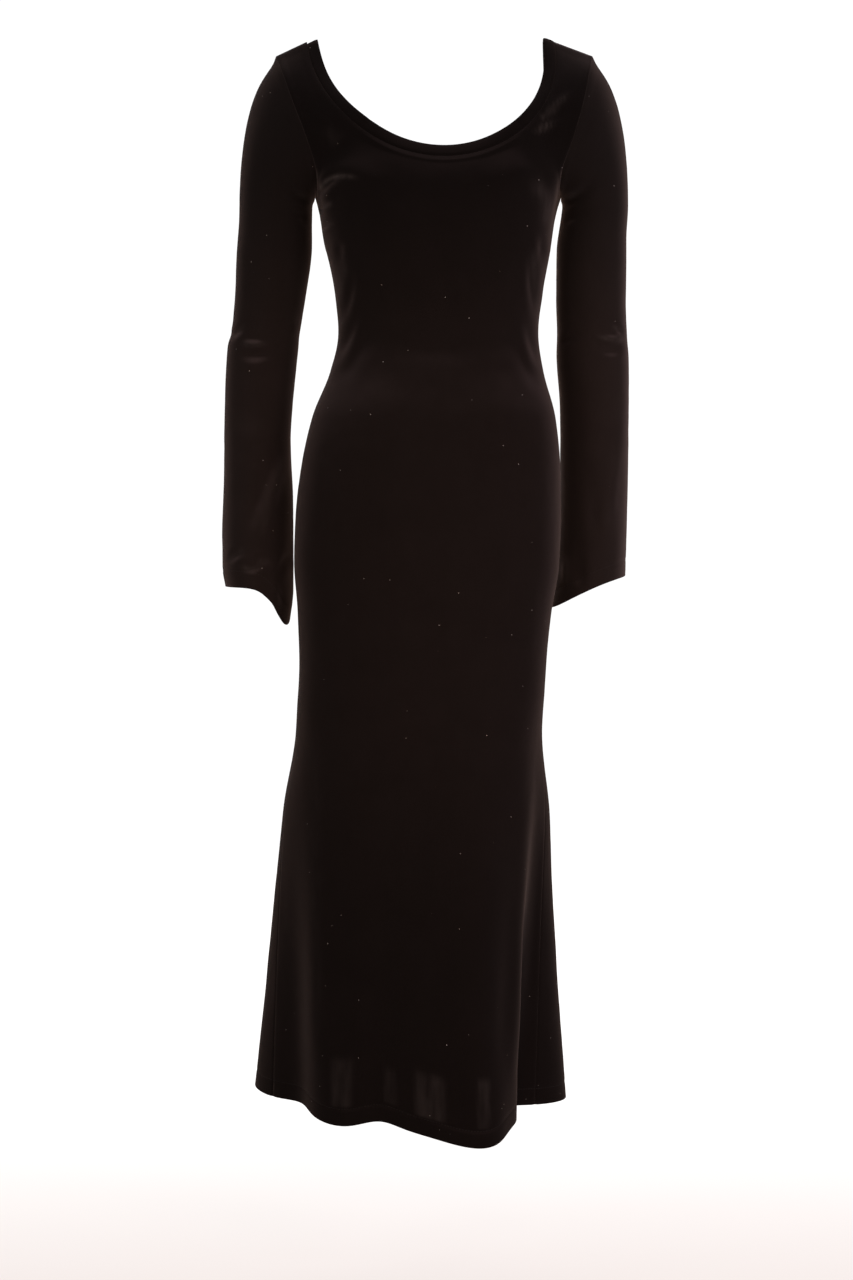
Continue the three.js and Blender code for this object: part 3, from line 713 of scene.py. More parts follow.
def smooth_step(values, low, high):
    """Soft rise from 0 at the low value to 1 at the high one."""
    part = np.clip((values - low) / (high - low), 0, 1)
    return part * part * (3 - 2 * part)


def rounded_path(path):
    """A given path drawn as a smooth line through its points."""
    corners = np.array(path, float)
    run = np.vstack([2 * corners[0] - corners[1], corners, 2 * corners[-1] - corners[-2]])
    pulls = (run[2:] - run[:-2]) / 2
    shares = np.linspace(0, 1, CREASE_SAMPLES + 1)[:, None]
    bits = [
        hermite(corners[k], pulls[k], corners[k + 1], pulls[k + 1], shares[:-1])
        for k in range(len(corners) - 1)
    ]
    return np.vstack([*bits, corners[-1:]])


def along_crease(flat, path, half, peak):
    """Distance from a crease in half widths, at flat places (across, down), and its strength there."""
    line = rounded_path(path)
    steps = np.diff(line, axis=0)
    lengths = np.linalg.norm(steps, axis=1)
    before = np.concatenate([[0], np.cumsum(lengths)])
    nearest = np.full(len(flat), np.inf)
    share = np.zeros(len(flat))
    for start, step, length, done in zip(line, steps, lengths, before):
        along = np.clip((flat - start) @ (step / length), 0, length)
        off = np.linalg.norm(flat - start - along[:, None] * (step / length), axis=1)
        closer = off < nearest
        nearest[closer] = off[closer]
        share[closer] = (done + along[closer]) / before[-1]
    fade = np.where(share < peak, share / peak, (1 - share) / (1 - peak))
    return nearest / half, smooth_step(fade, 0, 1)


def crease_height(flat, path, half, height, peak):
    """Height of one crease: a soft ridge or trough between low flanks, which fades to both ends."""
    off, kept = along_crease(flat, path, half, peak)
    shape = np.exp(-off * off) - CREASE_FLANK["height"] * np.exp(-(off - CREASE_FLANK["place"]) ** 2)
    return height * shape * kept


def flat_places(cloth):
    """Places of the cloth as seen from the front: across and down."""
    return np.stack([cloth.points[:, 0], -cloth.points[:, 2]], axis=1)


def face_share(cloth, face):
    """How far each point of the cloth looks to the front or to the back."""
    facing = -cloth.normals[:, 1] if face == "front" else cloth.normals[:, 1]
    return smooth_step(facing, *FACE_TURN)


def painted_streak_highlights(cloth, streaks):
    """Strength of the painted highlights at each point, along the streaks."""
    flat = flat_places(cloth)
    shown = face_share(cloth, "front")
    marks = np.zeros(len(flat))
    for path, half, strength, peak in streaks:
        off, kept = along_crease(flat, path, half, peak)
        share = strength * np.exp(-off * off) * np.minimum(1, STREAK_HOLD * kept)
        marks = np.maximum(marks, share * shown)
    return marks


def seam_distance(cloth):
    """Distance of each point from the nearest sewn edge, up to SEAM_FADE."""
    ends = np.unique(cloth.rim[cloth.sewn])
    tree = KDTree(len(ends))
    for i, k in enumerate(ends):
        tree.insert(cloth.points[k], i)
    tree.balance()
    return np.array([min(tree.find(point)[2], SEAM_FADE) for point in cloth.points])


def uneven(points):
    """Gentle unevenness of hanging cloth, so that no stretch is perfectly smooth."""
    wide = [noise.noise(Vector(point) / UNEVEN["size"]) for point in points]
    small = [noise.noise(Vector(point) / UNEVEN["small_size"]) for point in points]
    return UNEVEN["height"] * np.array(wide) + UNEVEN["small_height"] * np.array(small)


def seam_ridge(from_seam, down):
    """Height of the raised ridge beside a seam, which the side seams lose on their way down."""
    off = (from_seam - SEAM_RIDGE["place"]) / SEAM_RIDGE["half"]
    ridge = np.exp(-off * off) * smooth_step(from_seam, 0, SEAM_RIDGE["place"])
    return SEAM_RIDGE["height"] * ridge * (1 - smooth_step(down, *SIDE_SEAM_FLAT))


def hem_groove(cloth):
    """Depth of the groove that the stitches draw in above a hem or cuff."""
    off = (hem_rise(cloth) - HEM_GROOVE["rise"]) / HEM_GROOVE["half"]
    return HEM_GROOVE["depth"] * np.exp(-off * off)


def crease(cloth, creases):
    """Moves the cloth in and out by its creases, which fade out at the sewn edges."""
    flat = flat_places(cloth)
    heights = uneven(cloth.points)
    for face, rows in creases.items():
        shown = face_share(cloth, face)
        for path, half, height, peak in rows:
            heights += crease_height(flat, path, half, height, peak) * shown
    from_seam = seam_distance(cloth)
    heights *= smooth_step(from_seam, 0, SEAM_FADE)
    heights += seam_ridge(from_seam, flat[:, 1]) - hem_groove(cloth)
    cloth.points += cloth.normals * heights[:, None]
    cloth.find_normals()


def seam_normals(cloths):
    """Sums of the ways out of all cloths at each point of their rims."""
    sums = {}
    for cloth in cloths:
        for k in cloth.rim_points:
            key = place_key(cloth.points[k])
            sums[key] = sums.get(key, 0) + cloth.normals[k]
    return sums


def share_seam_normals(cloths):
    """Sewn edges share one way out where their points coincide."""
    sums = seam_normals(cloths)
    for cloth in cloths:
        for k in cloth.rim_points:
            cloth.normals[k] = unit(sums[place_key(cloth.points[k])])


def rim_outward(cloth):
    """Way out of the cloth, across its rim, at each rim point."""
    along = cloth.points[cloth.rim[:, 1]] - cloth.points[cloth.rim[:, 0]]
    outward = np.zeros_like(cloth.points)
    for k in range(2):
        ends = cloth.rim[:, k]
        np.add.at(outward, ends, unit(np.cross(along, cloth.normals[ends])))
    return unit(outward)


def draw_back(cloth, outward):
    """Draws the sewn edges back from the seam, so that their rounded rims just close it."""
    ends = np.unique(cloth.rim[cloth.sewn])
    cloth.points[ends] -= outward[ends] * (CLOTH / 2 - SEAM_LAP)


def rim_places(cloth, outward, extra):
    """Rings of the rounded rim, from the outside of the cloth to its inside."""
    rim = cloth.rim_points
    middle = (cloth.points - cloth.normals * extra / 2)[rim]
    rings = []
    for step in range(1, RIM_STEPS):
        angle = math.pi * step / RIM_STEPS
        up = cloth.normals[rim] * (CLOTH + extra[rim]) / 2 * math.cos(angle)
        rings.append(middle + up + outward[rim] * CLOTH / 2 * math.sin(angle))
    return rings


def rim_faces(cloth):
    """Faces that join the outside of the cloth to its inside through the rings of its rim."""
    count, size = len(cloth.points), len(cloth.rim_points)
    order = np.zeros(count, int)
    order[cloth.rim_points] = np.arange(size)
    rings = [order[cloth.rim] + 2 * count + step * size for step in range(RIM_STEPS - 1)]
    rings = [cloth.rim, *rings, cloth.rim + count]
    return [np.hstack([outer[:, ::-1], inner]) for outer, inner in zip(rings[:-1], rings[1:])]


def painted_seam_highlights(cloth):
    """Strength of the painted highlight at each rim point: at the seams, apart from the flat side seams."""
    sewn = np.isin(cloth.rim_points, cloth.rim[cloth.sewn])
    flat = smooth_step(-cloth.points[cloth.rim_points, 2], *SIDE_SEAM_FLAT)
    return SEAM_HIGHLIGHT * sewn * (1 - flat)


def shell(cloth):
    """A cloth closed into a thin wall with rounded rims: places, faces, backing faces and painted seam
    highlights.
    """
    outward = rim_outward(cloth)
    draw_back(cloth, outward)
    rise = hem_rise(cloth)
    extra = HEM_EXTRA * (1 - smooth_step(rise, *HEM_EDGE))[:, None]
    count, cells = len(cloth.points), len(cloth.cells)
    outside = cloth.points + cloth.normals * CLOTH / 2
    inside = cloth.points - cloth.normals * (CLOTH / 2 + extra)
    places = np.vstack([outside, inside, *rim_places(cloth, outward, extra)])
    faces = np.vstack([cloth.cells, cloth.cells[:, ::-1] + count, *rim_faces(cloth)])
    backing = np.zeros(len(faces), int)
    backing[cells:2 * cells] = rise[cloth.cells].max(axis=1) >= HEM_TURN
    # Painted highlight along the seams, on the rim rings
    seam_highlight = np.concatenate([np.zeros(2 * count), np.tile(painted_seam_highlights(cloth), RIM_STEPS - 1)])
    return places, faces, backing, seam_highlight


def hem_crush(cloth):
    """How far the pile is crushed at each point: upright marks just above the turned-up hem."""
    rise = hem_rise(cloth)
    across = cloth.points[:, 0]
    marks = np.zeros(len(rise))
    for middle, half, low, high, strength in HEM_CRUSH:
        beside = np.exp(-((across - middle) / half) ** CRUSH_EDGE["square"])
        above = smooth_step(rise, low - CRUSH_EDGE["low"], low + CRUSH_EDGE["low"])
        below = 1 - smooth_step(rise, high - CRUSH_EDGE["high"], high)
        marks = np.maximum(marks, strength * beside * above * below)
    return marks


def in_metres(places):
    """Places in the part's frame, from millimetres."""
    shown = np.array(places) * MM
    shown[:, 2] += SHOULDER_DOWN * MM
    return shown


def add_object(name, data):
    """A new object in the scene."""
    made = bpy.data.objects.new(name, data)
    bpy.context.scene.collection.objects.link(made)
    return made


def mesh_object(name, places, faces, materials, backing=None, crush_and_highlight=None):
    """A smooth piece of cloth, with its backing faces, and its crushed pile and painted highlights where
    they are.
    """
    mesh = bpy.data.meshes.new(name)
    mesh.from_pydata(in_metres(places).tolist(), [], faces.tolist())
    for material in materials:
        mesh.materials.append(material)
    mesh.polygons.foreach_set("use_smooth", np.ones(len(faces), bool))
    if backing is not None:
        mesh.polygons.foreach_set("material_index", backing.astype(np.int32))
    if crush_and_highlight is not None:
        mesh.attributes.new("crush_and_highlight", "FLOAT", "POINT").data.foreach_set("value", crush_and_highlight.astype(np.float32))
    mesh.update()
    return add_object(name, mesh)


def neck_loop():
    """Neck seam all round: the front from left to right, then the back from right to left."""
    front = np.vstack([part[1:] for part in neck_points(FRONT_NECK)])
    back = np.vstack([part[1:] for part in neck_points(BACK_NECK)])[::-1]
    return np.vstack([front, back])


def neck_band(cloths, materials):
    """Folded band sewn to the neck seam: a soft flat section carried round it, square to the seam."""
    loop = neck_loop()
    sums = seam_normals(cloths)
    normals = unit(np.array([sums[place_key(point)] for point in loop]))
    along = np.roll(loop, -1, axis=0) - np.roll(loop, 1, axis=0)
    inward = unit(np.cross(normals, along))
    angle = np.linspace(0, 2 * math.pi, BAND_SIDES, endpoint=False)
    width = BAND_WIDTH + SEAM_LAP
    over = width / 2 * (1 - bent(np.cos(angle), 2 / BAND_ROUND)) - SEAM_LAP
    up = BAND_THICK / 2 * bent(np.sin(angle), 2 / BAND_ROUND)
    section = loop[:, None] + inward[:, None] * over[:, None] + normals[:, None] * up[:, None]
    ids = np.arange(section.shape[0] * BAND_SIDES).reshape(-1, BAND_SIDES)
    ahead = np.roll(ids, -1, axis=0)
    faces = np.stack([ids, ahead, np.roll(ahead, -1, axis=1), np.roll(ids, -1, axis=1)], axis=-1)
    return mesh_object("neck_band_cloth", section.reshape(-1, 3), faces.reshape(-1, 4), materials)


class Value:
    """A node's output: arithmetic on it adds Math nodes."""

    def __init__(self, nodes, socket):
        self.nodes = nodes
        self.socket = socket

    def math(self, operation, first, second):
        """Result of a Math node."""
        return self.nodes.node("ShaderNodeMath", {"operation": operation}, {0: first, 1: second})

    def __add__(self, other):
        return self.math("ADD", self, other)

    __radd__ = __add__

    def __sub__(self, other):
        return self.math("SUBTRACT", self, other)

    def __rsub__(self, other):
        return self.math("SUBTRACT", other, self)

    def __mul__(self, other):
        return self.math("MULTIPLY", self, other)

    __rmul__ = __mul__

    def __lt__(self, other):
        return self.math("LESS_THAN", self, other)

    def __gt__(self, other):
        return self.math("GREATER_THAN", self, other)

    def __getitem__(self, name):
        return Value(self.nodes, self.socket.node.outputs[name])


class Nodes:
    """A node tree, with one method that makes any node."""

    def __init__(self, tree):
        self.tree = tree

    def node(self, kind, settings=None, inputs=None):
        """First output of a new node, with its settings made and its sockets fed."""
        made = self.tree.nodes.new(kind)
        for key, value in (settings or {}).items():
            setattr(made, key, value)
        for key, value in (inputs or {}).items():
            self.feed(made.inputs[key], value)
        return Value(self, next((socket for socket in made.outputs if socket.enabled), None))

    def feed(self, socket, value):
        """Links a node's output to a socket, or sets a plain value on it."""
        if isinstance(value, Value):
            self.tree.links.new(value.socket, socket)
        else:
            socket.default_value = value


class Shader(Nodes):
    """A material's node tree."""

    def __init__(self, name):
        self.material = bpy.data.materials.new(name)
        self.material.use_nodes = True
        super().__init__(self.material.node_tree)
        self.surface = self.tree.nodes["Principled BSDF"]

    def finish(self, inputs):
        """The material, with the sockets of its surface fed."""
        for key, value in inputs.items():
            self.feed(self.surface.inputs[key], value)
        return self.material

    def mixed(self, share, first, second):
        """A colour between two colours."""
        settings = {"data_type": "RGBA", "clamp_factor": True}
        made = self.node("ShaderNodeMix", settings, {0: share, 6: first, 7: second})
        return Value(self, made.socket.node.outputs[2])

    def noise_at(self, places, pattern):
        """A noise with the scale, detail and roughness of a pattern."""
        return self.node("ShaderNodeTexNoise", None, {"Vector": places, **pattern})

    def object_places(self):
        """Places in the frame that all pieces share."""
        return self.node("ShaderNodeTexCoord")["Object"]

    def part(self, vector, axis):
        """One axis of a vector."""
        return self.node("ShaderNodeSeparateXYZ", None, {"Vector": vector})[axis]

    def eased(self, value, start, full, least=0.0):
        """Rises smoothly from the least value at the start to 1 where it is full."""
        inputs = {"Value": value, "From Min": start, "From Max": full, "To Min": least}
        return self.node("ShaderNodeMapRange", {"interpolation_type": "SMOOTHSTEP"}, inputs)

    def bump(self, height, relief):
        """Normal of a fine relief with its strength and distance."""
        return self.node("ShaderNodeBump", None, {"Height": height, **relief})


# Colours of the cloth
PILE = (0.0034, 0.0025, 0.0023, 1)
PILE_BRUSHED = (0.0046, 0.0034, 0.0032, 1)
# Lighter pile for the crushed marks and for the painted highlights
PILE_CRUSH_AND_HIGHLIGHT = (0.0165, 0.014, 0.0136, 1)
# Lighter pile for the painted sheen and the painted top light
PILE_PAINTED_LIGHT = (0.0125, 0.0095, 0.0096, 1)
PILE_SHADED = (0.0008, 0.00085, 0.0009, 1)
# Tone of each piece's velvet: the sleeves made lighter as painted light, the neck band darker
PAINTED_LIGHT_TONE = {"front": 1.0, "back": 1.0, "sleeve_left": 1.45, "sleeve_right": 1.6, "neck_band": 0.9}
BACKING = (0.006, 0.0052, 0.005, 1)
THREAD = (0.008, 0.0068, 0.0066, 1)

# Patterns of the cloth
NOISE_MIDDLE = 0.5
MOTTLE = {"Scale": 26.0, "Detail": 4.0, "Roughness": 0.6}
BRUSH = {"Scale": 1.0, "Detail": 3.0, "Roughness": 0.55}
BRUSH_STRETCH = (70, 70, 14)
PILE_GRAIN = {"Scale": 1100.0, "Detail": 2.0, "Roughness": 0.6}
PILE_RELIEF = {"Strength": 0.25, "Distance": 0.0005}
BACKING_MOTTLE = {"Scale": 30.0, "Detail": 3.0, "Roughness": 0.5}
BACKING_RIBS = {"Scale": 260.0, "Distortion": 1.5, "Detail": 1.0}
BACKING_RELIEF = {"Strength": 0.2, "Distance": 0.0004}
BACKING_WORN = 0.8
THREAD_TWIST = {"Scale": 2200.0, "Detail": 2.0, "Roughness": 0.5}
LINT = {"colour": (0.13, 0.12, 0.115, 1), "scale": 58.0, "size": 0.028, "left_out": 0.12}

# Shares of mottle and brush in the brushed pile, and how ragged the brush leaves the crushed marks
BRUSHED = {"even": 0.4, "mottle": 0.9, "brush": 0.35}
RAGGED = {"from": 0.22, "gain": 1.9}

# Roughness of each finish, how far it swings, and how much gloss it has
ROUGHNESS = {"velvet": 0.86, "backing": 0.8, "thread": 0.6}
ROUGHNESS_SWING = 0.2
GLOSS = {"velvet": 0.0, "backing": 0.05, "thread": 0.1}
SHEEN = {"weight": 0.06, "roughness": 0.42, "tint": (1.0, 0.86, 0.86, 1)}

# Painted sheen and painted top light: the colour is lighter where the cloth turns away from view at the
# sides, and on slopes that face up: slopes, share, and heights in metres
PAINTED_SIDE_SHEEN = {"start": 0.3, "full": 0.8, "share": 0.7, "low": -0.92, "high": -0.5, "least": 0.12}
PAINTED_TOP_LIGHT = {"start": 0.08, "full": 0.45, "share": 0.85, "low": -0.13, "high": -0.08}

# Painted shade: the colour is darker above the hips and below the thighs, by heights in metres and shares
PAINTED_HEIGHT_SHADE = {"hip": -0.42, "shoulder": -0.1, "upper": 0.6, "thigh": -0.75, "hem": -1.1, "lower": 0.3}


def toned(colour, tone):
    """A colour made lighter or darker."""
    return (*(tone * channel for channel in colour[:3]), 1)


def rough(finish, pattern):
    """Roughness of a finish, which swings with a pattern."""
    return ROUGHNESS[finish] + (pattern - NOISE_MIDDLE) * ROUGHNESS_SWING


def painted_sheen_share(shader, height):
    """Share of painted sheen where the cloth turns away from view at the sides, less so towards the hem."""
    facing = shader.node("ShaderNodeLayerWeight")["Facing"]
    kept = shader.eased(height, PAINTED_SIDE_SHEEN["low"], PAINTED_SIDE_SHEEN["high"], PAINTED_SIDE_SHEEN["least"])
    return shader.eased(facing, PAINTED_SIDE_SHEEN["start"], PAINTED_SIDE_SHEEN["full"]) * kept * PAINTED_SIDE_SHEEN["share"]


def painted_top_light_share(shader, height):
    """Share of painted top light on slopes that face up, below the shoulders."""
    slope = shader.part(shader.node("ShaderNodeTexCoord")["Normal"], "Z")
    kept = shader.eased(height, PAINTED_TOP_LIGHT["high"], PAINTED_TOP_LIGHT["low"])
    return shader.eased(slope, PAINTED_TOP_LIGHT["start"], PAINTED_TOP_LIGHT["full"]) * kept * PAINTED_TOP_LIGHT["share"]


def painted_shade_share(shader, height):
    """Share of painted shade towards the shoulders and towards the hem."""
    upper = shader.eased(height, PAINTED_HEIGHT_SHADE["hip"], PAINTED_HEIGHT_SHADE["shoulder"]) * PAINTED_HEIGHT_SHADE["upper"]
    return upper + shader.eased(height, PAINTED_HEIGHT_SHADE["thigh"], PAINTED_HEIGHT_SHADE["hem"]) * PAINTED_HEIGHT_SHADE["lower"]


def lint_share(shader, places):
    """Stray specks of lint: small cells, with a few left out."""
    cells = shader.node("ShaderNodeTexVoronoi", None, {"Vector": places, "Scale": LINT["scale"]})
    draw = shader.node("ShaderNodeSeparateColor", None, {"Color": cells["Color"]})["Red"]
    return (cells["Distance"] < LINT["size"]) * (draw > LINT["left_out"])


def velvet(name, tone):
    """Near-black stretch velvet: brushed mottling, crushed marks, stray lint and a soft sheen, with painted
    light in its colour: painted sheen at the sides, painted top light, painted shade by height and painted
    highlights.
    """
    shader = Shader(name)
    places = shader.object_places()
    height = shader.part(places, "Z")
    mottle = shader.noise_at(places, MOTTLE)
    stretched = shader.node("ShaderNodeMapping", None, {"Vector": places, "Scale": BRUSH_STRETCH})
    brush = shader.noise_at(stretched, BRUSH)
    crush_and_highlight = shader.node("ShaderNodeAttribute", {"attribute_name": "crush_and_highlight"})["Fac"]
    brushed = (mottle - NOISE_MIDDLE) * BRUSHED["mottle"] + (brush - NOISE_MIDDLE) * BRUSHED["brush"]
    colour = shader.mixed(brushed + BRUSHED["even"], toned(PILE, tone), toned(PILE_BRUSHED, tone))
    # Painted light in the colour: painted top light on slopes that face up, painted sheen at the sides,
    # painted shade towards the shoulders and the hem
    colour = shader.mixed(painted_top_light_share(shader, height), colour, toned(PILE_PAINTED_LIGHT, tone))
    colour = shader.mixed(painted_sheen_share(shader, height), colour, toned(PILE_PAINTED_LIGHT, tone))
    colour = shader.mixed(painted_shade_share(shader, height), colour, toned(PILE_SHADED, tone))
    # Crushed pile above the hem, and painted highlights along creases and seams, from one attribute
    colour = shader.mixed(crush_and_highlight * ((brush - RAGGED["from"]) * RAGGED["gain"]), colour, PILE_CRUSH_AND_HIGHLIGHT)
    colour = shader.mixed(lint_share(shader, places), colour, LINT["colour"])
    return shader.finish({
        "Base Color": colour,
        "Roughness": rough("velvet", mottle),
        "Normal": shader.bump(shader.noise_at(places, PILE_GRAIN), PILE_RELIEF),
        "Specular IOR Level": GLOSS["velvet"],
        "Sheen Weight": SHEEN["weight"] * tone,
        "Sheen Roughness": SHEEN["roughness"],
        "Sheen Tint": SHEEN["tint"],
    })


def backing():
    """Smooth knitted back of the velvet, seen inside the dress."""
    shader = Shader("velvet_backing")
    places = shader.object_places()
    bands = {"wave_type": "BANDS", "bands_direction": "X"}
    ribs = shader.node("ShaderNodeTexWave", bands, {"Vector": places, **BACKING_RIBS})
    mottle = shader.noise_at(places, BACKING_MOTTLE)
    return shader.finish({
        "Base Color": shader.mixed(mottle * BACKING_WORN, BACKING, PILE),
        "Roughness": rough("backing", mottle),
        "Normal": shader.bump(ribs, BACKING_RELIEF),
        "Specular IOR Level": GLOSS["backing"],
    })


def thread():
    """Twisted sewing thread."""
    shader = Shader("sewing_thread")
    twist = shader.noise_at(shader.object_places(), THREAD_TWIST)
    return shader.finish({
        "Base Color": shader.mixed(twist, THREAD, PILE_BRUSHED),
        "Roughness": rough("thread", twist),
        "Specular IOR Level": GLOSS["thread"],
    })


# Hem stitches: pitch along the path, length and thickness of each, and how far it sinks into the pile
STITCH = {"Pitch": 3.6, "Length": 2.7, "Thickness": 0.55}
STITCH_RISE = HEM_GROOVE["rise"]
STITCH_SINK = 0.12
STITCH_BALL = {"Segments": 6, "Rings": 5, "Radius": 0.5}


def stitch_nodes(material):
    """Geometry nodes that lay stitches along a path whose points hold the way out of the cloth."""
    tree = bpy.data.node_groups.new("stitches", "GeometryNodeTree")
    tree.interface.new_socket("Path", in_out="INPUT", socket_type="NodeSocketGeometry")
    for name in STITCH:
        tree.interface.new_socket(name, in_out="INPUT", socket_type="NodeSocketFloat")
    tree.interface.new_socket("Stitches", in_out="OUTPUT", socket_type="NodeSocketGeometry")
    nodes = Nodes(tree)
    given = nodes.node("NodeGroupInput")
    curve = nodes.node("GeometryNodeMeshToCurve", None, {"Mesh": given["Path"]})
    spaced = nodes.node("GeometryNodeResampleCurve", {"mode": "LENGTH"}, {
        "Curve": curve, "Length": given["Pitch"],
    })
    out = nodes.node("GeometryNodeInputNamedAttribute", {"data_type": "FLOAT_VECTOR"}, {"Name": "out"})
    upright = nodes.node("FunctionNodeAlignRotationToVector", {"axis": "Z"}, {"Vector": out["Attribute"]})
    turned = nodes.node("FunctionNodeAlignRotationToVector", {"axis": "X", "pivot_axis": "Z"}, {
        "Rotation": upright, "Vector": nodes.node("GeometryNodeInputTangent"),
    })
    ball = nodes.node("GeometryNodeMeshUVSphere", None, STITCH_BALL)
    size = nodes.node("ShaderNodeCombineXYZ", None, {
        "X": given["Length"], "Y": given["Thickness"], "Z": given["Thickness"],
    })
    placed = nodes.node("GeometryNodeInstanceOnPoints", None, {
        "Points": spaced, "Instance": ball, "Rotation": turned, "Scale": size,
    })
    real = nodes.node("GeometryNodeRealizeInstances", None, {"Geometry": placed})
    shown = nodes.node("GeometryNodeSetMaterial", None, {"Geometry": real, "Material": material})
    nodes.node("NodeGroupOutput", None, {"Stitches": shown})
    return tree


def stitch_path(cloth):
    """Places and ways out along the row of hem stitches of one cloth."""
    grid = cloth.grids[-1]
    rise = hem_rise(cloth)[grid]
    places, ways = [], []
    for column in range(grid.shape[1]):
        heights = rise[::-1, column]
        ids = grid[::-1, column]
        places.append([np.interp(STITCH_RISE, heights, cloth.points[ids, k]) for k in range(3)])
        ways.append([np.interp(STITCH_RISE, heights, cloth.normals[ids, k]) for k in range(3)])
    ways = unit(np.array(ways))
    return np.array(places) + ways * (CLOTH / 2 - STITCH_SINK), ways


def stitches(name, places, ways, tree):
    """A closed row of stitches, laid by the nodes and kept as a plain mesh."""
    mesh = bpy.data.meshes.new(name)
    count = len(places)
    mesh.from_pydata(in_metres(places).tolist(), [(k, (k + 1) % count) for k in range(count)], [])
    mesh.attributes.new("out", "FLOAT_VECTOR", "POINT").data.foreach_set("vector", ways.ravel())
    path = add_object(f"{name}_path", mesh)
    layer = path.modifiers.new("stitches", "NODES")
    layer.node_group = tree
    for item in tree.interface.items_tree:
        if item.name in STITCH:
            layer[item.identifier] = STITCH[item.name] * MM
    laid = bpy.data.meshes.new_from_object(path.evaluated_get(bpy.context.evaluated_depsgraph_get()))
    bpy.data.objects.remove(path)
    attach(add_object(name, laid), "root")


def dress_piece(made, node):
    """Binds a finished cloth to the root, and hides the solid that it stands for."""
    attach(made, "root")
    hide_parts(node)


def build_cloths():
    """The panels and sleeves, eased at the chest, creased and sewn edge to edge."""
    cloths = {
        "front": panel(FRONT_ARMHOLE, FRONT_NECK),
        "back": panel(BACK_ARMHOLE, BACK_NECK),
        "sleeve_left": sleeve(LEFT_SLEEVE, -1, LEFT_CUFF),
        "sleeve_right": sleeve(RIGHT_SLEEVE, 1, RIGHT_CUFF),
    }
    for name, cloth in cloths.items():
        below = smooth_step(-cloth.points[:, 2], BUST_BASE - CHEST_EASE["fade"], BUST_BASE)
        cloth.relax(CHEST_EASE["rounds"], CHEST_EASE["share"] * (1 - below))
        crease(cloth, CREASES[name])
    share_seam_normals(cloths.values())
    return cloths


def build_dress():
    """All pieces of the dress, with their stitches."""
    outside = {name: velvet(f"{name}_velvet", tone) for name, tone in PAINTED_LIGHT_TONE.items()}
    inside, sewing = backing(), thread()
    cloths = build_cloths()
    band = neck_band([cloths["front"], cloths["back"]], [outside["neck_band"]])
    dress_piece(band, "neck_band")
    paths = {name: stitch_path(cloth) for name, cloth in cloths.items()}
    for name, cloth in cloths.items():
        # Lighter marks: painted highlights along the streaks, and on the front the crushed pile above the
        # hem
        pile = painted_streak_highlights(cloth, HIGHLIGHT_STREAKS.get(name, []))
        if name == "front":
            pile = np.maximum(pile, hem_crush(cloth))
        places, faces, inner, marks = shell(cloth)
        marks[:len(pile)] = pile
        made = mesh_object(f"{name}_cloth", places, faces, [outside[name], inside], inner, marks)
        dress_piece(made, name)
    tree = stitch_nodes(sewing)
    hem = [np.vstack([front, back[-2:0:-1]]) for front, back in zip(paths["front"], paths["back"])]
    stitches("hem_stitches", *hem, tree)
    stitches("left_cuff_stitches", *paths["sleeve_left"], tree)
    stitches("right_cuff_stitches", *paths["sleeve_right"], tree)


# Studio: camera as the photograph was taken, floor under the hem, softboxes
PHOTO_TALL = 1280
FOCAL_PIXELS = 2644.63
SENSOR = 36.0
CAMERA_PLACE = (-0.006655, -3.2, -0.5396)
CAMERA_TILT = 3.0303
FLOOR_DOWN = 1.458
FLOOR_REACH = 30.0
FLOOR_ROUGHNESS = 0.9
FLOOR_COLOUR = (0.1, 0.097, 0.095, 1)
FLOOR_NEAR = (0.735, 0.685, 0.67, 1)
FLOOR_FAR = (1.05, 1.05, 1.05, 1)
FLOOR_TURN = {"near": -0.2, "far": 0.9}
FLOOR_CAST = (0.2, 0.19, 0.185, 1)
WHITE = (1, 1, 1, 1)
BACKDROP = 1.05
DAYLIGHT = 0.18

# Softboxes: name, place, what each points at, width and height, power, colour
SOFTBOXES = [
    ("key", (0.9, -1.5, 2.0), (0, 0, -0.1), (1.2, 1.0), 16, (0.97, 0.93, 1.0)),
    ("right_edge", (2.0, -0.8, -0.15), (0, 0, -0.4), (0.8, 1.0), 27, (1.0, 0.85, 0.97)),
    ("left_edge", (-2.0, -0.5, 0.5), (0, 0, -0.2), (0.8, 1.2), 17, (0.94, 0.95, 1.0)),
    ("low", (0.1, -1.5, -0.62), (0, 0, -0.62), (0.6, 0.3), 20, (1.0, 0.68, 0.5)),
    ("right_low", (1.5, -1.6, -0.35), (0.1, 0, -0.45), (0.8, 0.8), 38, (1.0, 0.84, 0.8)),
    ("left_low", (-1.5, -1.6, -0.35), (-0.1, 0, -0.45), (0.8, 0.8), 22, (1.0, 0.86, 0.78)),
    ("behind", (-0.5, 3.0, 0.4), (0, 0, -0.6), (2.0, 2.0), 150, (1.0, 0.9, 0.85)),
]


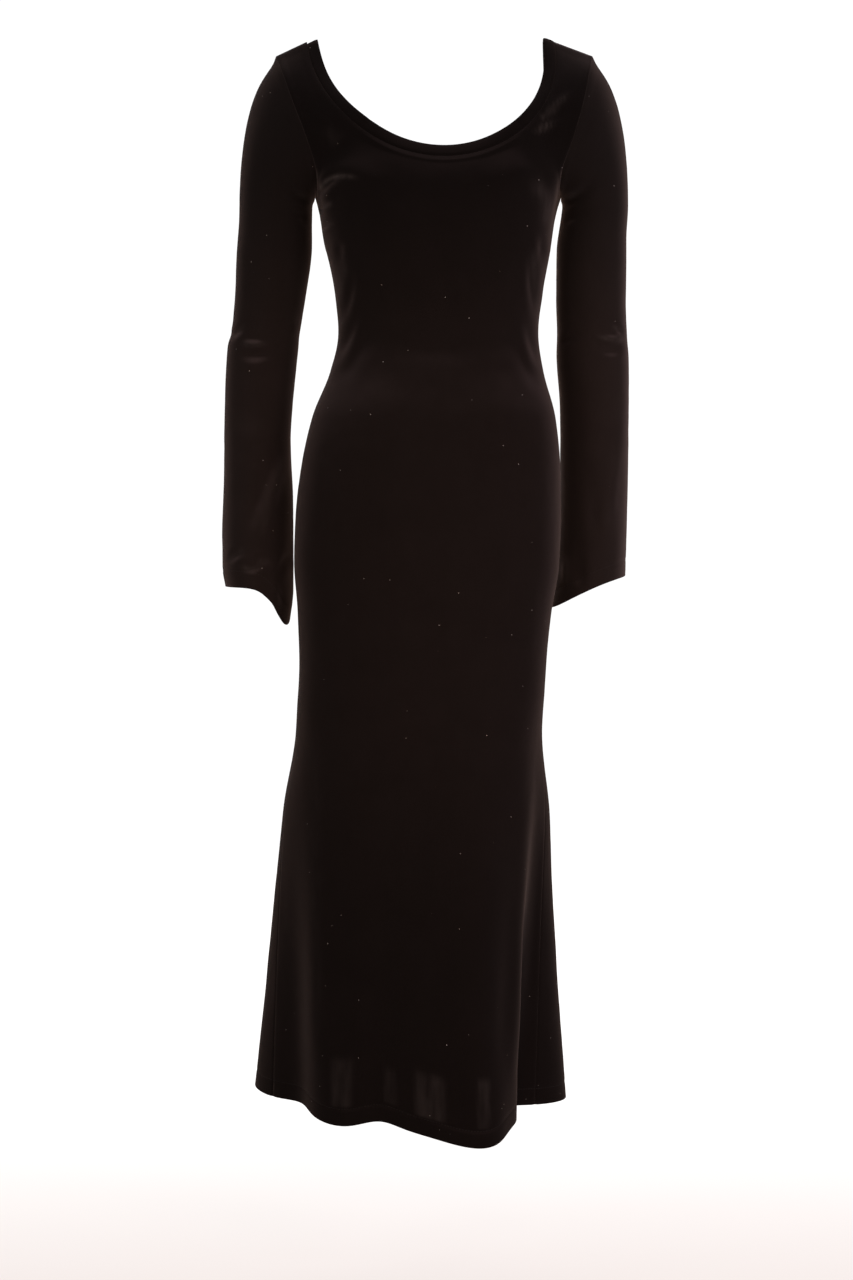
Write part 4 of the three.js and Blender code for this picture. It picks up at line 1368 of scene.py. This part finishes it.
def camera():
    """Camera at the photograph's place and angle."""
    data = bpy.data.cameras.new("camera")
    data.sensor_width = SENSOR
    data.lens = FOCAL_PIXELS / PHOTO_TALL * SENSOR
    made = add_object("camera", data)
    made.location = CAMERA_PLACE
    made.rotation_euler = (math.radians(90 - CAMERA_TILT), 0, 0)
    bpy.context.scene.camera = made


def floor():
    """Pale floor, which turns to white with distance."""
    mesh = bpy.data.meshes.new("floor")
    ways = [(-1, -1), (1, -1), (1, 1), (-1, 1)]
    corners = [(x * FLOOR_REACH, y * FLOOR_REACH, -FLOOR_DOWN) for x, y in ways]
    mesh.from_pydata(corners, [], [range(len(corners))])
    shader = Shader("pale_floor")
    away = shader.part(shader.object_places(), "Y")
    share = (away - FLOOR_TURN["near"]) * (1 / (FLOOR_TURN["far"] - FLOOR_TURN["near"]))
    seen = shader.node("ShaderNodeLightPath")["Is Camera Ray"]
    mesh.materials.append(shader.finish({
        "Base Color": FLOOR_COLOUR,
        "Roughness": FLOOR_ROUGHNESS,
        "Specular IOR Level": 0.0,
        "Emission Color": shader.mixed(seen, FLOOR_CAST, shader.mixed(share, FLOOR_NEAR, FLOOR_FAR)),
        "Emission Strength": 1.0,
    }))
    add_object("floor", mesh)


def softbox(name, place, aim, size, power, colour):
    """A soft lamp that lights a place without being seen."""
    data = bpy.data.lights.new(name, "AREA")
    data.shape = "RECTANGLE"
    data.size, data.size_y = size
    data.energy = power
    data.color = colour
    made = add_object(name, data)
    made.location = place
    made.rotation_euler = (Vector(aim) - Vector(place)).to_track_quat("-Z", "Y").to_euler()
    made.visible_camera = False


def studio():
    """White backdrop, lamps, floor and camera."""
    world = bpy.data.worlds.new("studio")
    bpy.context.scene.world = world
    world.use_nodes = True
    nodes = Nodes(world.node_tree)
    seen = nodes.node("ShaderNodeLightPath")["Is Camera Ray"]
    background = world.node_tree.nodes["Background"]
    nodes.feed(background.inputs["Color"], WHITE)
    nodes.feed(background.inputs["Strength"], DAYLIGHT + seen * (BACKDROP - DAYLIGHT))
    for row in SOFTBOXES:
        softbox(*row)
    floor()
    camera()
    bpy.context.scene.view_settings.view_transform = "Standard"


build_dress()
studio()
